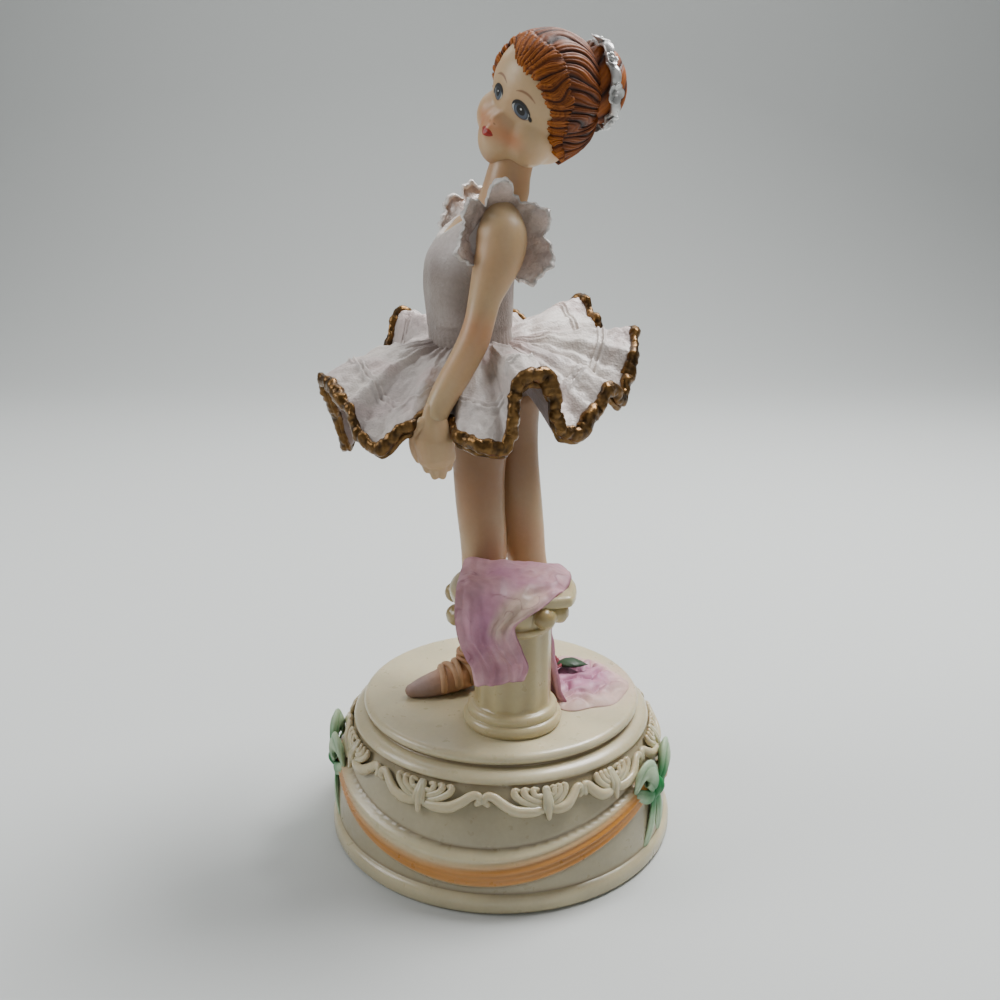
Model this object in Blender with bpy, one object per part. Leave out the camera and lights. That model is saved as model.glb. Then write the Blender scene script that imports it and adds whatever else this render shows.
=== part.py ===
"""Ballerina figurine: one painted resin casting of a dancer on a round drum base.

The dancer stands beside a short column with a cloth thrown over it. Sizes are in millimetres and
become metres when a mesh is made. The origin is the middle of the underside and +Z is up. The
column stands towards -Y, and the dancer looks towards -X and a little towards -Y.
"""
import math

import bmesh
import bpy
from mathutils import Matrix, Vector

MM = 0.001

# Drum base, a turned body
LIP_R = 40.0
LIP_H = 4.2
BASE_H = 32.0
WALL_FOOT_R = 38.7
WALL_TOP_R = 34.1
LEDGE_R = 34.2
COVE_R = 30.9
DISC_R = 31.8
DISC_EDGE_H = 2.6
LEDGE_H = 2.8
WALL_BELLY = 0.7
BASE_SIDES = 70

# Relief round the base: cloth swags between bows, under a frieze of scrolls
BOW_ANGLES = (-28.0, 80.0, 188.0)
SWAG_RELIEF = 1.9
SWAG_WIDTH = 8.0
SWAG_DROP = 9.0
SWAG_TOP = 19.0
BOW_Z = 17.0
BOW_SIZE = 6.4
SCROLL_COUNT = 10
SCROLL_RELIEF = 1.1
FRIEZE_DROP = 5.0

# Column with its capital
COLUMN_X = 2.5
COLUMN_Y = -15.2
COLUMN_H = 31.5
PLINTH_R = 10.7
PLINTH_H = 2.6
COLLAR_R = 9.7
COLLAR_H = 2.2
SHAFT_R = 8.3
FLUTES = 12
FLUTE_DEPTH = 0.5
CAPITAL_H = 8.0
ABACUS_HALF = 10.4
ABACUS_H = 2.6
VOLUTE_R = 2.3
CAPITAL_TURN = 4.0
CLOTH_THICK = 1.6

# Dancer, drawn at 142 mm from sole to crown and kept in proportion
FIGURE_H = 142.0
DRAWN_H = 142.0
FIGURE_SCALE = FIGURE_H / DRAWN_H
FACING = math.radians(194.0)
SKIRT_THICK = 1.5
HEM_LIP = 0.55
SKIRT_SIDES = 84
SKIRT_SHARES = (0.0, 0.4, 0.75, 1.0)

TRIM_SHARE = 0.76
RESIN_CREAM = (0.80, 0.74, 0.60)


def clear_scene():
    for item in list(bpy.data.objects):
        bpy.data.objects.remove(item)


def smooth(value):
    value = min(1.0, max(0.0, value))
    return value * value * (3.0 - 2.0 * value)


def mix(first, second, share):
    return first + (second - first) * share


def periodic(knots, angle):
    """Values at an angle in degrees, eased between knots (angle, value, value...) round a circle."""
    knots = sorted((k[0] % 360.0, *k[1:]) for k in knots)
    angle = angle % 360.0
    before = [k for k in knots if k[0] <= angle]
    start = before[-1] if before else knots[-1]
    after = [k for k in knots if k[0] > angle]
    end = after[0] if after else knots[0]
    span = (end[0] - start[0]) % 360.0 or 360.0
    share = smooth(((angle - start[0]) % 360.0) / span)
    return [mix(a, b, share) for a, b in zip(start[1:], end[1:])]


def along(points, share):
    """A point of a smooth curve through points, each a tuple of any length; share runs 0 to 1."""
    place = share * (len(points) - 1)
    i = min(int(place), len(points) - 2)
    t = place - i
    a, b = points[max(i - 1, 0)], points[i]
    c, d = points[i + 1], points[min(i + 2, len(points) - 1)]
    spot = []
    for p, q, r, s in zip(a, b, c, d):
        square = (2 * p - 5 * q + 4 * r - s) * t * t
        cube = (3 * q - p - 3 * r + s) * t ** 3
        spot.append(0.5 * (2 * q + (r - p) * t + square + cube))
    return spot


def figure_point(x, y, z):
    """A point of the dancer, drawn in millimetres with z above the disc, at the figure's size."""
    return Vector((x, y, z)) * FIGURE_SCALE + Vector((0, 0, BASE_H))


def finish(bm, name):
    """The bmesh, in millimetres, as a hidden helper that the casting is joined from."""
    bmesh.ops.scale(bm, vec=(MM, MM, MM), verts=bm.verts)
    bmesh.ops.triangulate(bm, faces=bm.faces)
    bm.normal_update()
    bmesh.ops.recalc_face_normals(bm, faces=bm.faces)
    if bm.calc_volume(signed=True) < 0:
        bmesh.ops.reverse_faces(bm, faces=bm.faces)
    mesh = bpy.data.meshes.new(name)
    bm.to_mesh(mesh)
    bm.free()
    made = bpy.data.objects.new(name, mesh)
    bpy.context.collection.objects.link(made)
    return made


def loft(rings, ring_of_rings=False):
    """A closed skin through rings of points, capped at both ends or joined end to end."""
    bm = bmesh.new()
    first = bmesh.ops.create_circle(bm, cap_ends=False, radius=1.0, segments=len(rings[0]))["verts"]
    for vert, place in zip(first, rings[0]):
        vert.co = place
    start = [bm.edges.get((a, b)) for a, b in zip(first, first[1:] + first[:1])]
    edges, verts = start, first
    for ring in rings[1:]:
        made = bmesh.ops.extrude_edge_only(bm, edges=edges)["geom"]
        new_edges = [g for g in made if isinstance(g, bmesh.types.BMEdge)]
        fresh = {g for g in made if isinstance(g, bmesh.types.BMVert)}
        next_verts = []
        for vert in verts:
            linked = [e.other_vert(vert) for e in vert.link_edges]
            next_verts.append(next(v for v in linked if v in fresh))
        for vert, place in zip(next_verts, ring):
            vert.co = place
        edges = [e for e in new_edges if e.verts[0] in fresh and e.verts[1] in fresh]
        verts = next_verts
    if ring_of_rings:
        bmesh.ops.bridge_loops(bm, edges=start + edges)
    else:
        bmesh.ops.contextual_create(bm, geom=start)
        bmesh.ops.contextual_create(bm, geom=edges)
    return bm


def oval(centre, wide, deep, sides):
    """A ring of points on an ellipse given by two half-axis vectors."""
    ring = []
    for i in range(sides):
        turn = 2 * math.pi * i / sides
        ring.append(centre + wide * math.cos(turn) + deep * math.sin(turn))
    return ring


def tube_rings(path, radii, sides, flat=1.0, side_hint=Vector((0, 0, 1))):
    """Rings along a path of points. flat squeezes them along side_hint, which is turned square."""
    rings = []
    for i, (centre, radius) in enumerate(zip(path, radii)):
        ahead = path[min(i + 1, len(path) - 1)] - path[max(i - 1, 0)]
        ahead.normalize()
        deep = (side_hint - ahead * side_hint.dot(ahead)).normalized()
        wide = ahead.cross(deep)
        rings.append(oval(centre, wide * radius, deep * radius * flat, sides))
    return rings


def limb(points, steps, sides, flat=1.0, side_hint=Vector((0, 1, 0)), name="limb"):
    """A tapering limb through figure points (x, y, z, radius), with rounded ends."""
    path, radii = [], []
    for i in range(steps):
        x, y, z, radius = along(points, i / (steps - 1))
        path.append(figure_point(x, y, z))
        radii.append(radius * FIGURE_SCALE)
    first = path[0] - (path[1] - path[0]).normalized() * radii[0] * 0.5
    last = path[-1] + (path[-1] - path[-2]).normalized() * radii[-1] * 0.5
    path = [first] + path + [last]
    radii = [radii[0] * 0.55] + radii + [radii[-1] * 0.55]
    return finish(loft(tube_rings(path, radii, sides, flat, side_hint)), name)


def swag_relief(angle, z):
    """How far the cloth swags stand out of the wall, at an angle in degrees and a height."""
    bows = sorted(a % 360.0 for a in BOW_ANGLES)
    for start, end in zip(bows, bows[1:] + [bows[0] + 360.0]):
        share = ((angle - start) % 360.0) / (end - start)
        if share <= 1.0:
            break
    hang = math.sin(math.pi * share)
    middle = SWAG_TOP - SWAG_DROP * hang ** 1.2
    half = SWAG_WIDTH / 2 * (0.35 + 0.65 * hang)
    across = (z - middle) / half
    if abs(across) >= 1.0:
        return 0.0
    folds = 0.82 + 0.18 * math.cos(3 * math.pi * across)
    return SWAG_RELIEF * math.sqrt(1.0 - across * across) * folds


def scroll_relief(angle, z):
    """How far the scroll frieze stands out: S-scrolls in pairs, with a leaf hanging between pairs."""
    step = 360.0 / SCROLL_COUNT
    share = abs(((angle - 270.0) / step + 0.5) % 1.0 - 0.5) * 2.0
    top = BASE_H - DISC_EDGE_H - LEDGE_H - 0.8
    low = top - FRIEZE_DROP * (0.55 + 0.2 * math.cos(3 * math.pi * share) + 0.35 * smooth(share * 3 - 2))
    if z < low:
        return 0.0
    curl = 0.75 + 0.25 * math.cos(5 * math.pi * share)
    return SCROLL_RELIEF * curl * smooth((z - low) / 1.2)


def base_profile():
    """The base's outline from the foot up: (radius, height, whether relief stands on it)."""
    ledge_z = BASE_H - DISC_EDGE_H - LEDGE_H
    foot_z = LIP_H + 0.4
    profile = [(LIP_R - 2.4, 0.0, False), (LIP_R - 0.4, 0.8, False), (LIP_R, LIP_H - 1.2, False)]
    profile.append((LIP_R - 0.9, LIP_H, False))
    for z in (foot_z, 7.2, 9.8, 12.6, 15.4, 18.0, 20.0, 21.3, 22.8, 24.2, ledge_z - 0.6):
        share = (z - foot_z) / (ledge_z - foot_z)
        belly = WALL_BELLY * math.sin(math.pi * share)
        radius = mix(WALL_FOOT_R, WALL_TOP_R - 0.3, share ** 1.5) + belly
        profile.append((radius, z, foot_z < z < ledge_z - 0.7))
    profile += [(LEDGE_R, ledge_z + 0.4, False), (LEDGE_R - 0.9, ledge_z + 1.6, False)]
    profile += [(COVE_R, BASE_H - DISC_EDGE_H, False), (DISC_R, BASE_H - 1.4, False)]
    profile.append((DISC_R - 0.8, BASE_H, False))
    return profile


def wall_radius(z):
    """The wall's own radius at a height, without its relief."""
    rows = [p for p in base_profile()]
    for low, high in zip(rows, rows[1:]):
        if low[1] <= z <= high[1] and high[1] > low[1]:
            return mix(low[0], high[0], (z - low[1]) / (high[1] - low[1]))
    return DISC_R


def drum_base():
    rings = []
    for radius, z, on_wall in base_profile():
        ring = []
        for i in range(BASE_SIDES):
            angle = 360.0 * i / BASE_SIDES
            out = radius + (max(swag_relief(angle, z), scroll_relief(angle, z)) if on_wall else 0.0)
            turn = math.radians(angle)
            ring.append(Vector((out * math.cos(turn), out * math.sin(turn), z)))
        rings.append(ring)
    return finish(loft(rings), "drum_base")


def on_wall(angle, z, out):
    """A point standing out of the base's wall at an angle in degrees."""
    radius = wall_radius(z) + out
    turn = math.radians(angle)
    return Vector((radius * math.cos(turn), radius * math.sin(turn), z))


def bow(angle):
    """A ribbon bow tied over the meeting of two swags, with loops, knot and tails."""
    turn = math.radians(angle)
    out = Vector((math.cos(turn), math.sin(turn), 0))
    along_wall = Vector((-math.sin(turn), math.cos(turn), 0))
    up = Vector((0, 0, 1))
    knot = on_wall(angle, BOW_Z, 0.7)
    pieces = []

    def ribbon(name, course, radii, flat):
        path = [knot + along_wall * a * BOW_SIZE + up * u * BOW_SIZE + out * o for a, u, o in course]
        pieces.append(finish(loft(tube_rings(path, radii, 4, flat, out)), name))

    for side in (-1, 1):
        big = 1.0 + 0.06 * side
        loop = ((0.02, 0.0, 0.03), (side * 0.5 * big, 0.3 * big, 0.2), (side * 0.9 * big, 0.75, -0.4))
        loop += ((side * 1.1 * big, 0.4 * big, -1.2),)
        ribbon(f"bow_loop_{angle}_{side}", loop, (1.3, 2.4, 2.8, 1.4), 0.5)
        tail = ((side * 0.05, -0.13 * big, 0.07), (side * 0.3, -0.9 * big, 0.13))
        tail += ((side * 0.45, -1.6 * big, 0.3),)
        ribbon(f"bow_tail_{angle}_{side}", tail, (1.1, 1.6, 1.9), 0.5)
    ball = ((0.04, 0.29, -0.05), (0.01, 0.02, 0.63), (-0.05, -0.31, 0.02))
    ribbon(f"bow_knot_{angle}", ball, (0.9, 1.8, 0.9), 0.9)
    return pieces


def column_point(x, y, z):
    turn = Matrix.Rotation(math.radians(CAPITAL_TURN), 3, "Z")
    return turn @ Vector((x, y, 0)) + Vector((COLUMN_X, COLUMN_Y, BASE_H + z))


def column():
    """Plinth, collar, fluted shaft and the bell of the capital, in one turned skin."""
    shaft_top = COLUMN_H - CAPITAL_H
    foot = PLINTH_H + COLLAR_H
    profile = [(PLINTH_R - 0.9, -1.0, 0), (PLINTH_R - 0.4, 0.3, 0), (PLINTH_R, PLINTH_H / 2, 0)]
    profile += [(COLLAR_R + 0.1, PLINTH_H, 0), (COLLAR_R, PLINTH_H + COLLAR_H / 2, 0), (SHAFT_R, foot, 0)]
    profile += [(SHAFT_R, foot + 0.8, 1), (SHAFT_R, shaft_top - 1.4, 1), (SHAFT_R + 0.1, shaft_top - 0.8, 0)]
    profile += [(SHAFT_R + 0.8, shaft_top, 0), (SHAFT_R + 0.2, shaft_top + 0.8, 0)]
    profile += [(SHAFT_R + 1.3, COLUMN_H - 1.1, 0)]
    sides = FLUTES * 2
    rings = []
    for radius, z, fluted in profile:
        ring = []
        for i in range(sides):
            turn = 2 * math.pi * i / sides
            cut = FLUTE_DEPTH * fluted * (0.5 - 0.5 * math.cos(FLUTES * turn))
            out = radius - cut
            ring.append(column_point(out * math.cos(turn), out * math.sin(turn), z))
        rings.append(ring)
    return finish(loft(rings), "column")


def abacus():
    """The capital's square top slab, with soft corners that reach out over the volutes."""
    rings = []
    for grow, z in ((-1.0, -ABACUS_H), (0.0, -ABACUS_H + 0.7), (0.0, -0.7), (-0.9, 0.0)):
        ring = []
        for i in range(20):
            turn = 2 * math.pi * i / 20
            reach = (ABACUS_HALF + grow) * (1.12 + 0.16 * math.cos(4 * turn - math.pi))
            ring.append(column_point(reach * math.cos(turn), reach * math.sin(turn), COLUMN_H + z))
        rings.append(ring)
    return finish(loft(rings), "abacus")


def volutes():
    """Four corner scrolls under the abacus."""
    pieces = []
    for i in range(4):
        turn = math.radians(45 + 90 * i)
        out = Vector((math.cos(turn), math.sin(turn), 0))
        side = Vector((-math.sin(turn), math.cos(turn), 0))
        reach = ABACUS_HALF * 1.12
        path = []
        for step in (-1.7, 0.0, 1.7):
            spot = out * reach + side * step
            path.append(column_point(spot.x, spot.y, COLUMN_H - ABACUS_H - VOLUTE_R + 0.5))
        radii = [VOLUTE_R * share for share in (0.8, 1.0, 0.8)]
        pieces.append(finish(loft(tube_rings(path, radii, 8)), f"volute_{i}"))
    return pieces


def cloth_sheet(rows, steps, columns, folds, name):
    """A folded sheet of cloth between a left and a right edge, each given as points down its length."""
    rings = []
    for i in range(steps):
        share = i / (steps - 1)
        spots = along(rows, share)
        one, two = Vector(spots[:3]), Vector(spots[3:])
        ahead = Vector(along(rows, min(share + 0.04, 1.0))) - Vector(along(rows, max(share - 0.04, 0.0)))
        lift = (two - one).cross(Vector(ahead[:3]) + Vector(ahead[3:])).normalized() * -1.0
        top, under = [], []
        for k in range(columns):
            v = k / (columns - 1)
            wave = folds * math.sin(v * 11.0 + 1.4 * share) * smooth(share * 1.6)
            edge = 1.0 - 0.55 * abs(2 * v - 1) ** 4
            spot = one.lerp(two, v)
            top.append(spot + lift * (wave + CLOTH_THICK * 0.6 * edge))
            under.append(spot + lift * (wave * 0.2 - CLOTH_THICK * 0.5))
        rings.append(top + under[::-1])
    return finish(loft(rings), name)


def column_cloth():
    """The cloth thrown over the capital: it hangs in front and falls behind to the disc."""
    top = BASE_H + COLUMN_H
    over = (
        (-9.0, -5.6, -1.2, 14.0, -7.0, -1.6), (-9.6, -9.5, 1.0, 15.4, -9.5, 0.4),
        (-10.2, -17.0, 1.5, 16.6, -14.0, 1.0), (-10.4, -24.6, 1.6, 14.6, -20.6, 0.2),
        (-10.3, -27.2, -2.6, 9.0, -26.0, -1.6), (-8.9, -26.9, -6.8, 4.8, -27.0, -4.6),
        (-7.2, -26.2, -11.0, 5.2, -26.2, -9.4), (-6.0, -25.2, -14.4, 6.0, -25.6, -13.4),
        (-5.4, -24.6, -18.6, 5.4, -24.8, -17.6),
    )
    spots = [(a, b, top + c, d, e, top + f) for a, b, c, d, e, f in over]
    behind = (
        (3.0, -5.7, top - 1.5, 10.0, -7.6, top - 1.5), (4.0, -4.6, top - 8.0, 10.6, -8.6, top - 8.0),
        (5.0, -4.6, top - 17.0, 11.8, -9.4, top - 17.0), (6.5, -3.6, top - 25.0, 13.0, -9.8, top - 25.0),
        (8.5, -1.6, BASE_H + 1.0, 14.6, -10.0, BASE_H + 1.0),
    )
    return [cloth_sheet(spots, 11, 8, 0.75, "cloth_over"), cloth_sheet(behind, 5, 5, 0.6, "cloth_behind")]


def cloth_pool():
    """The end of the cloth lying in soft folds on the disc, beside the column."""
    rings = []
    count = 20
    for share in (0.04, 0.4, 0.72, 1.0):
        ring = []
        for i in range(count):
            turn = 2 * math.pi * i / count
            fold = math.cos(5 * turn - 0.6)
            reach = share * (0.88 + 0.14 * fold)
            x = COLUMN_X + 15.8 + 11.4 * reach * math.cos(turn)
            y = COLUMN_Y + 17.0 + 14.6 * reach * math.sin(turn)
            z = BASE_H + 3.4 * (1 - share) ** 0.7 * (0.75 + 0.3 * fold) - (0.6 if share == 1.0 else 0.0)
            ring.append(Vector((x, y, z)))
        rings.append(ring)
    rings.append([Vector((p.x, p.y, BASE_H - 1.2)) for p in rings[-1]])
    return finish(loft(rings), "cloth_pool")


def rose():
    """A small rose lying on the cloth, as turned petals, with two leaves."""
    centre = Vector((COLUMN_X + 11.0, COLUMN_Y + 17.5, BASE_H + 2.2))
    rings = []
    for radius, z in ((1.6, -1.6), (3.1, 0.6), (3.5, 2.4), (2.4, 3.4), (1.5, 4.8)):
        ring = []
        for i in range(10):
            turn = 2 * math.pi * i / 10
            petal = 1.0 + 0.1 * math.cos(5 * turn + z)
            reach = radius * petal
            ring.append(centre + Vector((reach * math.cos(turn), reach * math.sin(turn), z)))
        rings.append(ring)
    pieces = [finish(loft(rings), "rose")]
    for i, (dx, dy) in enumerate(((7.0, -3.6), (-1.5, 7.2))):
        tip = Vector((dx, dy, 0.6))
        path = []
        for share in (0.25, 0.55, 0.8, 1.05):
            path.append(centre + tip * share + Vector((0, 0, 0.6 * math.sin(math.pi * share))))
        pieces.append(finish(loft(tube_rings(path, (1.0, 2.2, 1.7, 0.4), 4, 0.4)), f"rose_leaf_{i}"))
    return pieces


def facing_axes():
    """The way the dancer's chest points, and the way to her left."""
    ahead = Vector((math.cos(FACING), math.sin(FACING), 0))
    return ahead, Vector((-ahead.y, ahead.x, 0))


def torso():
    """Hips, waist, bust and neck: sections (height, x, y, half depth, half width)."""
    ahead, left = facing_axes()
    sections = (
        (57, 1.5, 2, 6.0, 7.5), (62, 1, 2, 8.2, 10.0), (68, -0.6, 2, 8.9, 10.9), (74, -3.6, 2, 8.7, 10.6),
        (80, -6.4, 2, 8.4, 10.2), (87, -6.9, 1.6, 8.9, 11.2), (93, -6.6, 1.2, 9.3, 12.0),
        (98, -5.8, 1, 8.9, 12.3), (102, -4.6, 0.8, 7.9, 12.2), (105.4, -2.6, 0.6, 6.5, 11.0),
        (108, -0.6, 0.4, 5.4, 8.0), (110.5, 0.6, 0.3, 5.0, 5.8), (114, 1.4, 0.2, 4.6, 4.9),
        (118.5, 2.8, 0.1, 4.5, 4.5), (123, 5.2, 0.0, 4.6, 4.6),
    )
    rings = []
    for z, x, y, deep, wide in sections:
        centre = figure_point(x, y, z)
        rings.append(oval(centre, left * wide * FIGURE_SCALE, ahead * deep * FIGURE_SCALE, 14))
    return finish(loft(rings), "torso")


HEM = (
    (-2, 83.0, 33.0), (-13, 79.5, 33.4), (-19, 74.5, 32.6), (-25, 71.0, 32.8), (-35, 74.0, 32.3),
    (-43, 70.0, 32.0), (-51, 66.2, 32.0), (-58, 67.0, 32.0), (-61, 70.0, 31.8), (-61.8, 75.0, 31.4),
    (-64.5, 78.2, 31.0), (-70, 78.4, 31.0), (-74.5, 77.0, 31.0), (-76.4, 74.0, 31.4), (-77.2, 67.0, 31.8),
    (-80, 64.6, 32.0), (-88, 65.2, 31.6), (-95, 66.0, 29.0), (-103, 68.0, 22.0), (-112, 69.0, 24.0),
    (-118, 67.5, 29.0), (-127, 63.0, 31.5), (-136, 65.0, 31.8), (-142, 70.5, 32.0), (-156, 74.0, 32.5),
    (-170, 74.0, 33.2), (-180, 67.0, 31.5), (-191, 57.5, 30.5), (-204, 64.0, 30.0), (-221, 74.0, 30.0),
    (-233, 85.0, 31.0), (-245, 80.0, 30.0), (-254, 70.0, 26.0), (-262, 69.0, 22.0), (-271, 71.0, 26.0),
    (-284, 84.0, 32.0), (-298, 77.5, 31.5), (-316, 88.3, 33.0), (-325, 84.0, 32.0), (-340, 74.0, 31.5),
    (-350, 78.0, 32.5),
)


def skirt_point(angle, share, drop=0.0):
    """A point of the skirt's upper face, from waist (share 0) to hem (1), drop below it."""
    height, reach = periodic(HEM, angle)
    waist_r, waist_z, mean_z = 6.5, 81.0, 75.0
    turn = math.radians(angle)
    radius = mix(waist_r, reach, share)
    body = mix(waist_z, mean_z, share ** 0.8) + 2.2 * math.sin(math.pi * share)
    z = body + (height - mean_z) * share ** 1.35
    x = mix(-6.2, -5.0, share) + radius * math.cos(turn)
    y = mix(2.0, 1.0, share) + radius * math.sin(turn)
    return figure_point(x, y, z - drop)


def hem_angles(count):
    """Angles in degrees spaced evenly along the wavy hem, so that steep folds get as many points."""
    fine = [skirt_point(-a / 4.0, 1.0) for a in range(1441)]
    length = [0.0]
    for here, there in zip(fine, fine[1:]):
        length.append(length[-1] + (there - here).length)
    angles = []
    place = 0
    for i in range(count):
        goal = length[-1] * i / count
        while length[place + 1] < goal:
            place += 1
        share = (goal - length[place]) / (length[place + 1] - length[place])
        angles.append(-(place + share) / 4.0)
    return angles


def skirt():
    """The tutu as a thin shell of flounces, a height over each point of the plan."""
    top, under = [], []
    angles = hem_angles(SKIRT_SIDES)
    for share in SKIRT_SHARES:
        upper, lower = [], []
        for angle in angles:
            here = skirt_point(angle, share)
            near = skirt_point(angle + 1.0, share)
            run = max((near.xy - here.xy).length, 0.05)
            slope = abs(near.z - here.z) / run
            thick = SKIRT_THICK * min(math.sqrt(1 + slope * slope), 2.6)
            lip = HEM_LIP if share > 0.9 else 0.0
            upper.append(here + Vector((0, 0, lip)))
            lower.append(here - Vector((0, 0, thick + lip)))
        top.append(upper)
        under.append(lower)
    return finish(loft(top + under[::-1], ring_of_rings=True), "skirt")


def arms():
    """Both arms hang down; the near hand lies in a dip of the skirt, the far one on its far side."""
    near = [
        (0.1, -9.0, 105.0, 4.0), (0.1, -11, 102.5, 4.7), (-0.4, -12, 99.4, 4.4), (-1.7, -13, 96, 4.0),
        (-3.2, -14, 90.7, 3.3), (-4.2, -15, 86.5, 3.0), (-5.4, -16, 82.7, 3.1), (-7.5, -17.5, 78.6, 3.0),
        (-10, -19.5, 74.4, 2.9), (-12, -21.5, 70.8, 2.7), (-12.6, -22.3, 69.0, 2.9),
    ]
    far = [
        (-4.2, 7.6, 105.0, 3.8), (-4.4, 10.2, 102.5, 4.6), (-4.8, 11.8, 99.0, 4.2), (-5.2, 13.0, 95.0, 3.8),
        (-5.8, 14.4, 90.0, 3.2), (-6.4, 15.8, 86.0, 3.0), (-7.2, 17.6, 82.0, 3.0), (-8.4, 19.8, 78.0, 2.9),
        (-9.8, 22.0, 74.0, 2.7), (-11.0, 23.6, 70.8, 2.7), (-11.6, 24.4, 69.0, 2.9),
    ]
    pieces = [limb(near, 10, 8, name="near_arm"), limb(far, 10, 8, name="far_arm")]
    near_wrist, near_down = Vector((-13.4, -22.9, 68.4)), Vector((0.10, -0.10, -1.0))
    far_wrist, far_down = Vector((-12.0, 24.8, 68.0)), Vector((-0.1, 0.1, -1.0))
    pieces += hand(near_wrist, near_down, Vector((-0.9, -0.1, 0.0)), "near", 1.05)
    pieces += hand(far_wrist, far_down, Vector((-0.95, 0.2, 0.0)), "far", 1.0)
    return pieces


def hand(wrist, down, side, name, size):
    """A palm whose end is lobed into four fingers held together, and a thumb beside it."""
    down.normalize()
    side = (side - down * side.dot(down)).normalized()
    back = down.cross(side)
    rings = []
    shape = ((-1.5, 2.5, 1.4, 0.0), (0.5, 3.1, 1.8, 0.0), (3.4, 4.3, 2.2, 0.0), (6.0, 4.3, 2.1, 0.3))
    shape += ((9.4, 3.9, 1.7, 0.8), (11.6, 2.9, 1.0, 1.0))
    sides = 16
    for reach, wide, deep, lobes in shape:
        ring = []
        for i in range(sides):
            turn = 2 * math.pi * i / sides
            a = math.cos(turn) * wide
            groove = 1.0 - 0.3 * lobes * (0.5 - 0.5 * math.cos(4 * math.pi * (math.cos(turn) + 1)))
            b = math.sin(turn) * deep * groove + 0.12 * max(reach - 4.0, 0.0)
            long = reach - 0.5 * lobes * abs(math.cos(turn)) ** 2
            ring.append(figure_point(*(wrist + (side * a + down * long + back * b) * size)))
        rings.append(ring)
    thumb = ((2.6, 0.8, 0.4), (4.6, 4.2, 1.2), (4.2, 7.0, 1.7))
    path = [figure_point(*(wrist + (side * a + down * d + back * b) * size)) for a, d, b in thumb]
    radii = [r * size * FIGURE_SCALE for r in (1.4, 1.4, 0.8)]
    return [finish(loft(rings), f"{name}_palm"), finish(loft(tube_rings(path, radii, 5)), f"{name}_thumb")]


def ruffle(joint, name, side):
    """A flounced strap round an armhole, from the chest over the shoulder to the back."""
    ahead, left = facing_axes()
    out = left * side
    up = Vector((0, 0, 1))
    rings = []
    steps = 25
    for i in range(steps):
        share = i / (steps - 1)
        turn = math.radians(mix(-62.0, 246.0, share))
        spoke = ahead * math.cos(turn) + up * math.sin(turn)
        wave = math.sin(share * math.pi * 12.0)
        fade = smooth(min(share, 1 - share) * 5.0)
        centre = joint + out * 0.8
        inner = centre + spoke * 4.4 - out * 2.4
        middle = centre + spoke * 7.0 + out * (0.6 + 0.8 * wave)
        reach = 8.3 + fade * (1.3 + 0.7 * wave)
        outer = centre + spoke * reach + out * (1.0 + 1.7 * wave * fade)
        front = [middle + out * 0.5, outer + out * 0.5, outer + spoke * 0.45]
        back = [outer - out * 0.5, middle - out * 0.6]
        rings.append([figure_point(*p) for p in [inner] + front + back])
    return finish(loft(rings), name)


def legs():
    near = [
        (-2.6, -1.5, 68, 7.0), (-4.4, -2.0, 60, 6.3), (-4.8, -2.0, 53, 5.7), (-4.8, -1.6, 45, 5.0),
        (-4.4, -1.0, 37, 4.4), (-4.2, -0.4, 31, 4.0), (-4.9, 0.4, 23, 4.1), (-6.0, 0.6, 15, 3.3),
        (-7.0, 0.2, 8, 2.7), (-7.2, 0.0, 3.6, 3.0),
    ]
    far = [
        (2.6, 5.5, 68, 6.2), (3.0, 6.0, 60, 5.3), (3.3, 6.2, 53, 4.9), (4.4, 6.4, 44, 4.6),
        (5.8, 6.6, 35, 4.2), (6.6, 7.4, 29, 3.9), (7.6, 8.2, 22, 4.0), (8.2, 8.8, 14, 3.2),
        (8.4, 9.0, 8, 2.7), (8.4, 9.0, 3.6, 2.9),
    ]
    near_foot = [
        (-4.6, 1.0, 3.2, 2.4), (-7.6, -0.2, 3.7, 3.5), (-11.0, -1.8, 3.3, 3.6), (-14.6, -3.2, 2.5, 3.2),
        (-18.0, -4.4, 1.9, 2.6), (-20.2, -5.2, 1.6, 1.8),
    ]
    far_foot = [
        (9.4, 7.0, 3.2, 2.4), (8.2, 10.0, 3.6, 3.3), (6.6, 13.4, 3.0, 3.3), (5.0, 16.6, 2.2, 2.9),
        (4.0, 19.4, 1.6, 1.9),
    ]
    pieces = [limb(near, 9, 10, name="near_leg"), limb(far, 9, 10, name="far_leg")]
    up = Vector((0, 0, 1))
    pieces += [limb(near_foot, 6, 8, 0.9, up, "near_foot"), limb(far_foot, 6, 8, 0.9, up, "far_foot")]
    return pieces


HEAD = Vector((8.9, -1.0, 130.2))
SKULL_R = 10.8
HAIR_THICK = 0.7
FACE_AHEAD = Vector((-0.674, -0.737, 0.049)).normalized()
FACE_UP = Vector((0.431, -0.338, 0.837))
BUN_WAY = Vector((0.96, 0.25, 0.13)).normalized()
HEAD_MIDDLE = Vector((0, 2.0, -5.5))
HEAD_BLOBS = (
    (0, 0, 0, SKULL_R), (4.0, 3.2, -8.2, 5.8), (-4.0, 3.2, -8.2, 5.8), (0, 5.4, -9.6, 5.7),
    (4.2, -0.8, -7.2, 5.8), (-4.2, -0.8, -7.2, 5.8), (1.8, -3.5, -3.8, 8.4), (0, 2.6, -3.6, 7.4),
)
HAIRLINE = (
    (-160, 100), (-135, 84), (-110, 72), (-85, 62), (-60, 52), (-35, 46), (-15, 44), (5, 46), (30, 44),
    (55, 46), (80, 52), (105, 62), (130, 76), (155, 96), (180, 104),
)


def face_axes():
    up = (FACE_UP - FACE_AHEAD * FACE_UP.dot(FACE_AHEAD)).normalized()
    return up.cross(FACE_AHEAD), FACE_AHEAD, up


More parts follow.
